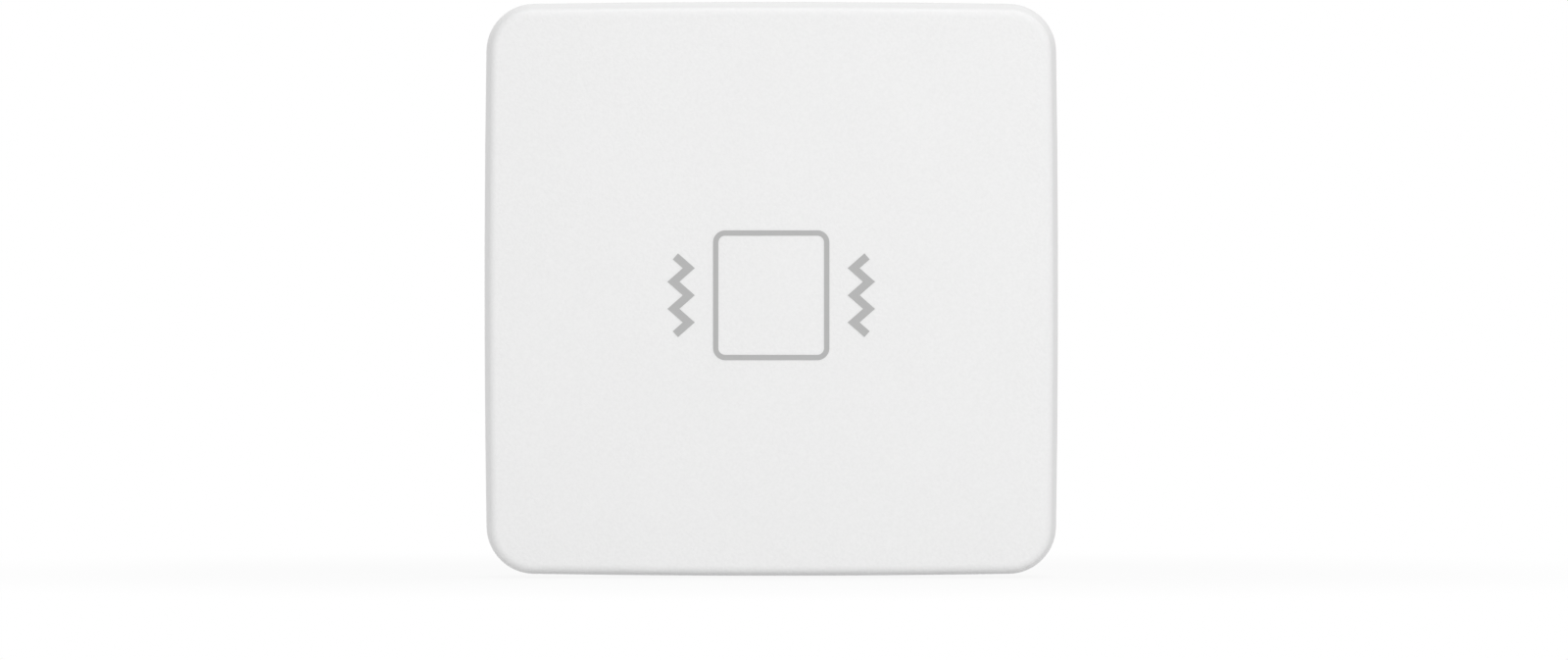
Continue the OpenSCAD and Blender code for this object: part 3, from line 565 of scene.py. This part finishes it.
def model_lamp(body_finish, lens_finish):
    """Pale lamp package with a domed lens in its cup."""
    body_h, body_soft = 1.2, 0.12
    lens_r, lens_h, lens_sunk, dome_steps = 0.95, 0.5, 0.05, 8
    cup = 0.1
    low, high = lying_box("status_led")
    middle = (low + high) / 2
    top = low.z + body_h
    centre = row(middle.x, middle.y, top)
    body = settle(add_block("lamp_package", low, (high.x, high.y, top), body_soft, steps=3))
    profile = [(0, -2 * cup), (lens_r, -2 * cup), (lens_r + 2 * cup, 2 * cup), (0, 2 * cup)]
    combine(body, turn_piece("cup", profile, centre, OUT, 40), "DIFFERENCE")
    hand_over(settle(body), body_finish, "status_led")
    profile = [(0, -2 * cup - lens_sunk), (lens_r, -2 * cup - lens_sunk), (lens_r, 0)]
    dome = [i / dome_steps * math.pi / 2 for i in range(1, dome_steps)]
    profile += [(lens_r * math.cos(t), lens_h * math.sin(t)) for t in dome]
    profile += [(0, lens_h)]
    lens = turn_piece("lamp_lens", profile, centre, OUT, 40)
    return hand_over(settle(lens), lens_finish, "status_led", replaced=False)


def model_shield(finish):
    """Pressed can over the radio, its top sunk inside a border."""
    border, slope, sunk = 0.9, 0.18, 0.1
    shield = soften("radio_shield", "radio_shield_can", 0.1, steps=3)
    top = lying_box("radio_shield")[1].z
    take(shield)
    bpy.ops.object.mode_set(mode="EDIT")
    pick("FACE", lambda x, y, z: z > top - SAME)
    bpy.ops.mesh.inset(thickness=border * MM)
    bpy.ops.mesh.inset(thickness=slope * MM, depth=-sunk * MM)
    return hand_over(settle(shield), finish, "radio_shield")


def model_rivets(finish):
    """Heads of the pins that hold the reset switch's cover down."""
    inset, head_r, head_h, soft, sunk = 0.75, 0.42, 0.14, 0.08, 0.05
    low, high = lying_box("reset_switch_plate")
    profile = [(0, -sunk), (head_r, -sunk)]
    profile += arc(head_r - soft, head_h - soft, soft, 0, 1, steps=3)
    profile += [(0, head_h)]
    rivet = settle(turn_piece("rivet", profile, row(0, 0, 0), OUT, 24))
    corners = [(x, y) for x in (low.x + inset, high.x - inset) for y in (low.y + inset, high.y - inset)]
    rivets = [copy_to(rivet, row(x, y, high.z)) for x, y in corners]
    bpy.data.objects.remove(rivet)
    rivets = settle(gather("reset_switch_rivets", rivets))
    return hand_over(rivets, finish, "reset_switch_body", replaced=False)


def model_bulk(finish):
    """Drawn can with a rolled neck, a rounded shoulder and a sunken top."""
    foot_soft, soft, sunk, slope = 0.1, 0.4, 0.06, 0.12
    neck, neck_in, neck_steps = 0.5, 0.3, 8
    low, high = lying_box("bulk_capacitor")
    middle = (low + high) / 2
    r = (high.x - low.x) / 2
    tall = high.z - low.z
    roll = [i / neck_steps for i in range(1, neck_steps)]
    profile = [(0, 0), (r - foot_soft, 0), (r, foot_soft), (r, neck)]
    profile += [(r - neck_in * math.sin(s * math.pi), neck + 2 * neck * s) for s in roll]
    profile += [(r, 3 * neck)]
    profile += arc(r - soft, tall - soft, soft, 0, 1, steps=6)
    profile += [(r - 2 * soft, tall), (r - 2 * soft - slope, tall - sunk), (0, tall - sunk)]
    can = turn_piece("bulk_capacitor_can", profile, row(middle.x, middle.y, low.z), OUT)
    return hand_over(settle(can), finish, "bulk_capacitor")


def chip_places():
    """Middle and quarter turns of each chip part, told from the pieces beside it."""
    row_up, pitch = 3.0, 2.0
    beside_motion, right_of_motion, left_of_radio, right_of_lamp = 3.2, 5.8, 4.0, 4.1
    motion = lying_middle("accelerometer")
    radio = lying_middle("radio_module")
    lamp = lying_middle("status_led")
    rows = [BOARD_LOW.y + row_up + i * pitch for i in range(3)]
    places = [(motion.x + side * beside_motion, motion.y, 1) for side in (-1, 1)]
    places += [(motion.x + right_of_motion, y, 0) for y in rows[:2]]
    places += [(radio.x, y, 0) for y in rows[:2]]
    places += [(radio.x - left_of_radio, y, 0) for y in rows]
    places += [(lamp.x + right_of_lamp + i * pitch, lamp.y, 1) for i in range(2)]
    return places


def model_solder(finish):
    """Fillets of solder at the ends of the chip parts."""
    half_len, half_w, out, rise = 0.8, 0.45, 0.32, 0.3
    behind, sunk, soft = 0.05, 0.02, 0.04
    top_share = 0.15, 1, 0.85
    fillet = add_block("fillet", (-behind, -half_w, -sunk), (out, half_w, rise))
    pick("FACE", lambda x, y, z: z > rise - SAME)
    bpy.ops.transform.resize(value=top_share, center_override=row(-behind, 0, rise))
    bpy.ops.mesh.select_mode(type="EDGE")
    bpy.ops.mesh.select_all(action="SELECT")
    bpy.ops.mesh.bevel(offset=soft * MM, segments=2, affect="EDGES")
    settle(fillet)
    copies = []
    for x, y, quarter in chip_places():
        for way in (0, 1):
            turn = quarter * math.pi / 2 + way * math.pi
            place = row(x + half_len * math.cos(turn), y + half_len * math.sin(turn), BOARD_HIGH.z)
            copies.append(copy_to(fillet, place, turn))
    bpy.data.objects.remove(fillet)
    return hand_over(settle(gather("solder_fillets", copies)), finish, "chip_ends", replaced=False)


def model_edge_pads(finish):
    """Plated pads down the sides and along the foot of the radio board."""
    reach, proud, half, soft, sunk = 0.55, 0.03, 0.32, 0.02, 0.005
    pitch, first_up, side_count, foot_count = 1.27, 1.0, 6, 8
    low, high = lying_box("radio_module")
    pad = settle(add_block("pad", (-reach, -half, -sunk), (proud, half, high.z - low.z + proud), soft))
    places = []
    for i in range(side_count):
        y = low.y + first_up + i * pitch
        places += [(high.x, y, 0), (low.x, y, math.pi)]
    middle = (low.x + high.x) / 2
    for i in range(foot_count):
        places.append((middle + (i - (foot_count - 1) / 2) * pitch, low.y, -math.pi / 2))
    copies = [copy_to(pad, row(x, y, low.z), turn) for x, y, turn in places]
    bpy.data.objects.remove(pad)
    return hand_over(settle(gather("radio_edge_pads", copies)), finish, "antenna_trace", replaced=False)


def lay_lines(name, chains, wide, thick, finish):
    """Thin raised lines on the board, each along a chain of places, closed where it ends as it began."""
    sunk = 0.02
    lines = []
    for chain in chains:
        line = draw_line(name, [row(x, y, BOARD_HIGH.z - sunk) for x, y in chain])
        bpy.ops.mesh.select_all(action="SELECT")
        bpy.ops.mesh.remove_doubles(threshold=0.001 * MM)
        bpy.ops.mesh.extrude_region_move(TRANSFORM_OT_translate={"value": row(0, 0, sunk + thick)})
        finish_modifier(line, "SOLIDIFY", thickness=wide * MM, offset=0, use_even_offset=True)
        lines.append(line)
    piece = gather(name, lines)
    take(piece)
    bpy.ops.object.mode_set(mode="EDIT")
    close_up(merge=0.0005)
    return hand_over(settle(piece, smooth=20), finish, "circuit_board", replaced=False)


def frame_round(node, beside, above):
    """Chain round a solid on the board, so far beside it and so far above and below."""
    low, high = lying_box(node)
    left, right = low.x - beside, high.x + beside
    foot, head = low.y - above, high.y + above
    return [(left, foot), (right, foot), (right, head), (left, head), (left, foot)]


def radio_corners():
    """Chains down both sides of the radio board and a little way along its foot."""
    beside, below, short, foot = 0.5, 0.45, 0.25, 1.8
    low, high = lying_box("radio_module")
    return [
        [(x, high.y - short), (x, low.y - below), (x + inwards * foot, low.y - below)]
        for x, inwards in ((low.x - beside, 1), (high.x + beside, -1))
    ]


def screw_rings():
    """Chains round the two board screws."""
    post_in, ring_r = 3.4, 2.4
    lower_left = BOARD_LOW.x + post_in, BOARD_LOW.y + post_in
    upper_right = BOARD_HIGH.x - post_in, BOARD_HIGH.y - post_in
    return [arc(*middle, ring_r, 0, 4, steps=32) for middle in (lower_left, upper_right)]


def model_vias(places, finish):
    """Plated holes on the tracks and in the free board beside them."""
    ring_r, hole_r, rise, deep, soft = 0.36, 0.16, 0.05, 0.1, 0.04
    profile = [(hole_r, -deep), (ring_r, -deep), (ring_r, rise / 2), (ring_r - soft, rise)]
    profile += [(hole_r + soft, rise), (hole_r, rise / 2), (hole_r, -deep)]
    via = settle(turn_piece("via", profile, row(0, 0, 0), OUT, 20))
    copies = [copy_to(via, row(x, y, BOARD_HIGH.z)) for x, y in places]
    bpy.data.objects.remove(via)
    return hand_over(settle(gather("board_vias", copies)), finish, "circuit_board", replaced=False)


# Finishes


class Sock:
    """A shader socket that takes part in Python expressions."""

    def __init__(self, tree, link):
        self.tree = tree
        self.link = link

    def math(self, operation, *values):
        node = self.tree.nodes.new("ShaderNodeMath")
        node.operation = operation
        for socket, value in zip(node.inputs, values):
            plug(self.tree, socket, value)
        return Sock(self.tree, node.outputs[0])

    def __add__(self, other):
        return self.math("ADD", self, other)

    def __radd__(self, other):
        return self.math("ADD", other, self)

    def __sub__(self, other):
        return self.math("SUBTRACT", self, other)

    def __rsub__(self, other):
        return self.math("SUBTRACT", other, self)

    def __mul__(self, other):
        return self.math("MULTIPLY", self, other)

    def __rmul__(self, other):
        return self.math("MULTIPLY", other, self)

    def __truediv__(self, other):
        return self.math("DIVIDE", self, other)

    def __lt__(self, other):
        return self.math("LESS_THAN", self, other)

    def __gt__(self, other):
        return self.math("GREATER_THAN", self, other)

    def __and__(self, other):
        return self.math("MINIMUM", self, other)

    def __or__(self, other):
        return self.math("MAXIMUM", self, other)

    def __abs__(self):
        return self.math("ABSOLUTE", self)


def plug(tree, socket, value):
    """Links a socket, or sets its value."""
    if isinstance(value, Sock):
        tree.links.new(value.link, socket)
    else:
        socket.default_value = value


class Finish:
    """A procedural finish that lies on the piece's own place in the frame, its grain in millimetres."""

    def __init__(self, name):
        self.material = bpy.data.materials.new(name)
        self.material.use_nodes = True
        self.tree = self.material.node_tree
        self.shader = self.tree.nodes["Principled BSDF"]
        self.place = self.node("ShaderNodeTexCoord", out="Object")

    def node(self, kind, settings=None, sockets=None, out=0):
        """Adds any node: its settings first, then the values or links of its sockets."""
        node = self.tree.nodes.new(kind)
        for key, value in (settings or {}).items():
            setattr(node, key, value)
        for key, value in (sockets or {}).items():
            plug(self.tree, node.inputs[key], value)
        return Sock(self.tree, node.outputs[out])

    def lying(self):
        """Place on the lying tag: right, up the face and out of the wall."""
        split = self.tree.nodes.new("ShaderNodeSeparateXYZ")
        plug(self.tree, split.inputs[0], self.place)
        x, y, z = (Sock(self.tree, socket) for socket in split.outputs)
        return x / MM, z / MM, y / -MM

    def noise(self, size, detail=2.0, rough=0.5, stretch=(1, 1, 1)):
        """Noise from 0 to 1 whose grain is about a size, stretched along the axes."""
        place = self.node("ShaderNodeMapping", {"vector_type": "POINT"},
                          {"Vector": self.place, "Scale": tuple(1 / (size * MM * s) for s in stretch)})
        return self.node("ShaderNodeTexNoise", {"noise_dimensions": "3D"},
                         {"Vector": place, "Scale": 1.0, "Detail": detail, "Roughness": rough})

    def mix(self, share, first, second):
        """Colour between two colours."""
        return self.node("ShaderNodeMix", {"data_type": "RGBA", "clamp_factor": True},
                         {0: share, 6: first, 7: second}, out=2)

    def bump(self, height, deep):
        """Relief of a height from 0 to 1, deep millimetres from low to high."""
        normal = self.node("ShaderNodeBump", None, {"Height": height, "Distance": deep * MM, "Strength": 1.0})
        plug(self.tree, self.shader.inputs["Normal"], normal)

    def set(self, **sockets):
        """Sets or links the shader's own sockets, named with _ for a space."""
        for key, value in sockets.items():
            plug(self.tree, self.shader.inputs[key.replace("_", " ")], value)
        return self.material


def grey(tone):
    return (tone, tone, tone, 1.0)


def shade(colour, share):
    """A colour made darker or lighter."""
    return (*(c * share for c in colour), 1.0)


def moulded_white(name, tone, rough, deep, mottle):
    """White moulded plastic with a fine eroded texture and faint clouds."""
    f = Finish(name)
    grain = f.noise(0.3, detail=1.0)
    clouds = f.noise(9.0)
    share = 0.8 * grain + 0.2 * clouds
    colour = f.mix(share, grey(tone * (1 - mottle)), grey(tone * (1 + mottle)))
    f.bump(grain, deep)
    return f.set(Base_Color=colour, Roughness=rough + 0.12 * grain, Specular_IOR_Level=0.35)


def printed_ink(name, tone):
    """Flat ink, a little uneven as a screen lays it down."""
    f = Finish(name)
    speck = f.noise(0.25, detail=3.0, rough=0.6)
    colour = f.mix(speck, grey(tone * 0.97), grey(tone * 1.03))
    return f.set(Base_Color=colour, Roughness=0.5 + 0.15 * speck)


def foam_tape(name, tint):
    """Open-cell foam: fine pores, faint clouds, and the thin sheen of its adhesive."""
    pore = 0.45
    f = Finish(name)
    pores = f.node("ShaderNodeTexVoronoi", {"feature": "F1"},
                   {"Vector": f.place, "Scale": 1 / (pore * MM)}, out="Distance")
    clouds = f.noise(6.0, detail=3.0)
    share = 0.75 * pores + 0.35 * clouds
    f.bump(pores, 0.05)
    colour = f.mix(share, shade(tint, 0.72), shade(tint, 1.12))
    return f.set(Base_Color=colour, Roughness=0.55 + 0.3 * pores)


def plated_metal(name, tint, rough, streak=(1, 1, 1)):
    """Plated metal with fine streaks the way it was drawn or rolled, and a little staining."""
    f = Finish(name)
    streaks = f.noise(0.25, detail=3.0, rough=0.65, stretch=streak)
    stain = f.noise(2.5, detail=4.0, rough=0.6)
    colour = f.mix(0.5 * streaks + 0.5 * stain, shade(tint, 0.82), shade(tint, 1.1))
    f.bump(streaks, 0.003)
    return f.set(Base_Color=colour, Metallic=1.0, Roughness=rough + 0.22 * stain)


def moulded_black(name, tone, rough):
    """Dark moulded resin with a fine matt grain."""
    f = Finish(name)
    grain = f.noise(0.12, detail=3.0, rough=0.6)
    clouds = f.noise(1.8, detail=3.0)
    f.bump(grain, 0.006)
    colour = f.mix(0.5 * grain + 0.5 * clouds, grey(tone * 0.7), grey(tone * 1.5))
    return f.set(Base_Color=colour, Roughness=rough + 0.15 * grain)


def solder_mask(name, tint, rough):
    """Glossy mask over glass cloth: clouds, and the cloth's weave just showing."""
    f = Finish(name)
    warp = f.noise(0.35, detail=1.0, stretch=(6, 1, 1))
    weft = f.noise(0.35, detail=1.0, stretch=(1, 1, 6))
    clouds = f.noise(4.0, detail=3.0)
    weave = 0.5 * warp + 0.5 * weft
    f.bump(weave, 0.004)
    colour = f.mix(0.5 * clouds + 0.5 * weave, shade(tint, 0.7), shade(tint, 1.3))
    return f.set(Base_Color=colour, Roughness=rough + 0.12 * clouds, Coat_Weight=0.3)


def cell_film(cell, way, tint, pale):
    """Dark shrunk film with a pale band, a fine line and the signs of both ends, facing the front."""
    band, line = 9.0, 0.5
    sign_in, sign, stroke, front = 4.6, 1.5, 0.32, 9.0
    low, high = lying_box(f"{cell}_cell_can")
    length = high.x - low.x - CAP_H
    f = Finish(f"{cell}_cell_film_print")
    x, y, z = f.lying()
    along = ((high.x if way > 0 else low.x) - x) * way
    across = abs(y - (low.y + high.y) / 2)
    pale_band = along < band
    pale_line = abs(along - band - 2 * line) < line / 2
    ahead = z > front
    plus_bar = (abs(along - sign_in) < sign) & (across < stroke)
    plus_post = (abs(along - sign_in) < stroke) & (across < sign)
    minus = (abs(along - length + sign_in) < stroke) & (across < sign)
    paint = (pale_band - ((plus_bar | plus_post) & ahead)) | pale_line | (minus & ahead)
    wrinkle = f.noise(0.8, stretch=(8, 1, 1))
    clouds = f.noise(5.0)
    f.bump(wrinkle, 0.02)
    dark = f.mix(clouds, shade(tint, 0.85), shade(tint, 1.2))
    light = f.mix(clouds, shade(pale, 0.95), shade(pale, 1.05))
    return f.set(Base_Color=f.mix(paint, dark, light), Roughness=0.22 + 0.12 * wrinkle, Coat_Weight=0.2)


def bulk_can(name, tint, dark):
    """Drawn aluminium whose top carries a dark sector at its negative side."""
    sector, top_deep = 1.5, 0.2
    low, high = lying_box("bulk_capacitor")
    f = Finish(name)
    x, _, z = f.lying()
    mark = (x < low.x + sector) & (z > high.z - top_deep)
    streaks = f.noise(0.2, detail=3.0, rough=0.6, stretch=(1, 8, 1))
    f.bump(streaks, 0.003)
    bare = f.mix(streaks, shade(tint, 0.85), shade(tint, 1.08))
    colour = f.mix(mark, bare, shade(dark, 1))
    return f.set(Base_Color=colour, Metallic=1.0 - mark, Roughness=0.28 + 0.2 * streaks)


def clear_resin(name, tint):
    """Milky resin of the lamp's lens, faintly swirled."""
    f = Finish(name)
    swirl = f.noise(0.5)
    colour = f.mix(swirl, shade(tint, 0.9), shade(tint, 1.08))
    return f.set(Base_Color=colour, Roughness=0.12 + 0.1 * swirl)


def fired_ceramic(name, tint, rough):
    """Fine-grained ceramic of the chip parts."""
    f = Finish(name)
    grain = f.noise(0.08, detail=3.0, rough=0.6)
    f.bump(grain, 0.004)
    colour = f.mix(grain, shade(tint, 0.85), shade(tint, 1.15))
    return f.set(Base_Color=colour, Roughness=rough + 0.15 * grain)


# Stage, in metres


def make_floor(level, albedo, glow):
    """Pale light table with a soft glow of its own, white to the camera but for the tag's shadow."""
    size = 8.0
    near, far, shadow_share = 0.04, 0.12, 0.12
    let_go()
    bpy.ops.mesh.primitive_plane_add(size=size, location=(0, 0, level))
    floor = bpy.context.object
    floor.name = "studio_floor"
    f = Finish("floor_white")
    seen = f.node("ShaderNodeLightPath", out="Is Camera Ray")
    for path in ("Is Glossy Ray", "Is Transmission Ray"):
        seen = seen | f.node("ShaderNodeLightPath", out=path)
    away = f.node("ShaderNodeVectorMath", {"operation": "LENGTH"}, {0: f.place}, out="Value")
    shadow = f.node("ShaderNodeMapRange", {"interpolation_type": "SMOOTHSTEP"},
                    {"Value": away, "From Min": near, "From Max": far, "To Min": shadow_share, "To Max": 0.0})
    strength = seen * (1 - glow) + glow
    lit = f.node("ShaderNodeEmission", None, {"Color": grey(1), "Strength": strength})
    f.set(Base_Color=grey(albedo), Roughness=0.9, Specular_IOR_Level=0.0)
    share = seen * (0.5 - shadow) + 0.5
    mix = f.node("ShaderNodeMixShader", None, {0: share, 1: Sock(f.tree, f.shader.outputs[0]), 2: lit})
    plug(f.tree, f.tree.nodes["Material Output"].inputs["Surface"], mix)
    floor.data.materials.append(f.material)


def make_world(ambient):
    """White surroundings that light the tag less than they show."""
    world = bpy.data.worlds.new("studio_white")
    bpy.context.scene.world = world
    world.use_nodes = True
    tree = world.node_tree
    sky = tree.nodes["Background"]
    sky.inputs["Color"].default_value = grey(1)
    path = tree.nodes.new("ShaderNodeLightPath")
    seen = Sock(tree, path.outputs["Is Camera Ray"])
    for name in ("Is Glossy Ray", "Is Transmission Ray"):
        seen = seen | Sock(tree, path.outputs[name])
    plug(tree, sky.inputs["Strength"], seen * (1 - ambient) + ambient)


def make_lamp(name, place, size, power):
    """Round softbox aimed at the tag."""
    lamp = bpy.data.lights.new(name, "AREA")
    lamp.shape = "DISK"
    lamp.size = size
    lamp.energy = power
    holder = bpy.data.objects.new(name, lamp)
    bpy.context.collection.objects.link(holder)
    holder.location = place
    holder.rotation_euler = (-Vector(place)).to_track_quat("-Z", "Y").to_euler()
    holder.visible_camera = False


def make_camera():
    """Long lens straight in front and a touch above."""
    height = math.radians(0.8)
    away = 2.5
    aim = row(1.33, -4.21, 9.0)
    way = Vector((0, -math.cos(height), math.sin(height)))
    camera = bpy.data.cameras.new("camera")
    camera.lens = 549.9
    camera.sensor_width = 36.0
    camera.clip_end = 50.0
    holder = bpy.data.objects.new("camera", camera)
    bpy.context.collection.objects.link(holder)
    holder.location = aim + way * away
    holder.rotation_euler = (-way).to_track_quat("-Z", "Y").to_euler()
    bpy.context.scene.camera = holder


# The tag's finishes

SLATE = (0.05, 0.06, 0.07)
PALE = (0.62, 0.64, 0.64)
JET = (0.02, 0.02, 0.022)
cover_white = moulded_white("cover_white_texture", 0.85, 0.5, 0.026, 0.042)
base_white = moulded_white("base_white_satin", 0.8, 0.4, 0.008, 0.015)
ink_grey = printed_ink("ink_grey_print", 0.44)
legend_white = printed_ink("board_legend_white", 0.78)
foam_grey = foam_tape("foam_grey_tape", (0.55, 0.57, 0.58))
can_steel = plated_metal("cell_can_plating", (0.66, 0.67, 0.69), 0.16, (1, 6, 6))
nickel = plated_metal("contact_nickel_sheet", (0.68, 0.65, 0.58), 0.2, (1, 1, 8))
spring_wire = plated_metal("spring_wire_plating", (0.66, 0.67, 0.68), 0.2)
screw_zinc = plated_metal("screw_zinc_plating", (0.5, 0.51, 0.53), 0.24)
tin_sheet = plated_metal("tinned_sheet", (0.62, 0.63, 0.64), 0.24, (8, 1, 1))
solder_tin = plated_metal("solder_tin_joint", (0.7, 0.7, 0.71), 0.18)
gold = plated_metal("gold_plating", (0.75, 0.52, 0.18), 0.22)
board_mask = solder_mask("board_green_mask", (0.02, 0.16, 0.06), 0.28)
radio_mask = solder_mask("radio_board_mask", (0.015, 0.12, 0.06), 0.26)
track_mask = solder_mask("track_green_mask", (0.035, 0.24, 0.09), 0.24)
chip_black = moulded_black("chip_black_resin", 0.026, 0.5)
switch_black = moulded_black("switch_black_resin", 0.021, 0.42)
key_black = moulded_black("reset_key_black", 0.024, 0.36)
knob_white = moulded_white("knob_white_resin", 0.8, 0.3, 0.004, 0.03)
lamp_white = moulded_white("lamp_package_white", 0.82, 0.4, 0.003, 0.02)
lens_resin = clear_resin("lamp_lens_resin", (0.85, 0.8, 0.5))
ceramic_tan = fired_ceramic("ceramic_tan_fired", (0.42, 0.28, 0.15), 0.4)
ceramic_black = fired_ceramic("ceramic_black_glaze", (0.022, 0.022, 0.024), 0.25)
lower_film = cell_film("lower", -1, SLATE, PALE)
upper_film = cell_film("upper", 1, SLATE, PALE)
bulk_aluminium = bulk_can("bulk_can_marked", (0.7, 0.71, 0.72), JET)

# Solids that show as they are, and their finishes

SHOWN = {"icon_print": ink_grey, "circuit_board": board_mask, "antenna_trace": gold}
for node_name, finish in SHOWN.items():
    solid = bpy.data.objects[node_name]
    solid.data.materials.clear()
    solid.data.materials.append(finish)

# Pieces softened from solids: name, rounding and finish

SOFTENED = {
    "rear_base": ("base_tray", 0.15, base_white),
    "bridge_contact": ("bridge_plate", 0.07, nickel),
    "positive_contact": ("positive_plate", 0.07, nickel),
    "negative_contact": ("negative_plate", 0.07, nickel),
    "radio_module": ("radio_daughter_board", 0.05, radio_mask),
    "radio_chip": ("radio_chip_package", 0.06, chip_black),
    "accelerometer": ("motion_chip_package", 0.07, chip_black),
    "reset_switch_body": ("reset_switch_housing", 0.12, switch_black),
    "reset_switch_plate": ("reset_switch_cover", 0.05, tin_sheet),
    "sensitivity_switch_base": ("slide_switch_floor", 0.1, switch_black),
    "sensitivity_switch_shell": ("slide_switch_frame", 0.08, tin_sheet),
    "switch_legs": ("switch_leg_set", 0.05, solder_tin),
    "bulk_capacitor_foot": ("bulk_capacitor_seat", 0.1, switch_black),
    "crystal": ("crystal_can", 0.08, tin_sheet),
    "chip_capacitors": ("chip_capacitor_bodies", 0.05, ceramic_tan),
    "chip_resistors": ("chip_resistor_bodies", 0.04, ceramic_black),
    "chip_ends": ("chip_end_caps", 0.05, solder_tin),
}
for node_name, (piece_name, rounding, finish) in SOFTENED.items():
    hand_over(soften(node_name, piece_name, rounding), finish, node_name)

# Modelled pieces

model_cover(cover_white)
model_pad(foam_grey)
for cell, way, film_print in (("lower", -1, lower_film), ("upper", 1, upper_film)):
    model_can(cell, way, can_steel)
    model_film(cell, way, film_print)
wind_spring("bridge_spring_coil", "bridge_spring", "upper", 1, spring_wire)
wind_spring("negative_spring_coil", "negative_spring", "lower", -1, spring_wire)
model_screws(screw_zinc)
model_button(key_black)
model_knob(knob_white)
model_lamp(lamp_white, lens_resin)
model_shield(tin_sheet)
model_rivets(switch_black)
model_bulk(bulk_aluminium)
model_solder(solder_tin)
model_edge_pads(gold)

# Tracks, plated holes and legend of the board, as places right and up the face

TRACKS = [
    [(2.7, 15.75), (1.2, 15.75), (0.2, 14.75), (0.2, 5.2)],
    [(6.3, 15.75), (7.2, 15.75), (7.9, 16.6), (8.6, 16.6)],
    [(8.6, 14.8), (8.6, 13.6), (7.2, 12.2), (3.4, 12.2)],
    [(10.6, 14.8), (10.6, 12.8), (8.8, 11.0), (2.2, 11.0)],
    [(-1.0, 12.4), (-2.9, 14.3)],
    [(-1.0, 10.8), (-3.2, 13.0)],
    [(2.0, 18.8), (2.0, 18.6), (1.5, 18.1), (-2.9, 18.1)],
    [(4.5, 18.8), (4.5, 18.1), (4.1, 17.7), (1.4, 17.7), (0.5, 16.8), (-2.9, 16.8)],
    [(7.0, 18.8), (7.0, 18.2), (7.6, 17.6), (9.6, 17.6), (10.6, 16.7)],
    [(11.1, 22.05), (10.2, 22.05), (9.7, 21.5), (9.7, 19.0)],
    [(19.3, 18.05), (20.6, 18.05), (21.4, 17.25), (21.4, 8.0), (19.8, 6.4), (16.4, 6.4)],
    [(-1.0, 5.2), (-1.0, 7.1), (-3.2, 9.3), (-6.5, 9.3), (-8.5, 11.3), (-8.5, 12.9)],
    [(1.0, 5.2), (1.0, 8.4), (2.2, 9.6), (7.2, 9.6)],
    [(-1.8, 4.1), (-2.2, 5.0), (-4.2, 5.0), (-4.8, 4.2)],
    [(-8.3, 3.45), (-9.2, 3.45), (-10.0, 2.6)],
    [(-16.0, 0.45), (-17.4, 0.45), (-18.6, 1.65), (-18.6, 8.4), (-16.4, 10.6), (-16.4, 12.9)],
    [(-16.0, 2.45), (-16.8, 2.45), (-17.5, 3.15), (-17.5, 7.9), (-14.6, 10.8), (-14.6, 12.9)],
    [(-16.0, 4.45), (-16.4, 4.85), (-16.4, 7.6), (-12.6, 11.4), (-12.6, 12.9)],
    [(6.8, 0.45), (7.8, -0.55), (9.2, -0.55)],
]
POWER_TRACKS = [
    [(23.7, 3.75), (20.0, 3.75), (18.6, 2.35), (16.3, 2.35)],
    [(23.7, -0.25), (19.2, -0.25), (17.8, -1.65), (-9.0, -1.65), (-11.8, 0.45)],
]
VIAS = [
    (9.7, 19.0), (7.2, 9.6), (21.4, 12.5), (-6.5, 9.3), (-18.6, 5.0), (-17.5, 6.4), (-16.4, 6.8), (3.4, 12.2),
    (2.2, 11.0), (-1.0, 12.4), (-1.0, 10.8), (13.5, 9.2), (16.4, 12.6), (-21.6, 9.0), (-21.6, 14.6),
    (-23.8, 19.6),
]
LEGEND = [
    frame_round("accelerometer", 0.65, 0.65),
    frame_round("crystal", 0.5, 0.5),
    frame_round("status_led", 0.55, 0.45),
    frame_round("sensitivity_switch_shell", 0.35, 0.35),
    frame_round("reset_switch_body", 0.4, 0.4),
    frame_round("bulk_capacitor_foot", 0.45, 0.45),
    *radio_corners(),
    *screw_rings(),
]
lay_lines("board_tracks", TRACKS, 0.26, 0.03, track_mask)
lay_lines("power_tracks", POWER_TRACKS, 0.9, 0.03, track_mask)
lay_lines("board_legend", LEGEND, 0.14, 0.02, legend_white)
model_vias(VIAS, gold)

# Floor, light and camera: each lamp's place, size across and power

FLOOR_ALBEDO = 0.8
FLOOR_GLOW = 0.68
AMBIENT = 0.575
LAMPS = {
    "front_softbox": ((-0.15, -1.5, 0.15), 1.2, 8.6),
    "top_softbox": ((0.05, 0.12, 0.7), 0.5, 1.3),
    "right_softbox": ((0.7, -0.35, 0.15), 0.5, 0.45),
    "key_softbox": ((0.10, -0.22, 0.16), 0.12, 0.0945),
}
make_floor(cad_box[0].z, FLOOR_ALBEDO, FLOOR_GLOW)
make_world(AMBIENT)
for name, (place, size, power) in LAMPS.items():
    make_lamp(name, place, size, power)
make_camera()
bpy.context.scene.view_settings.view_transform = "Standard"
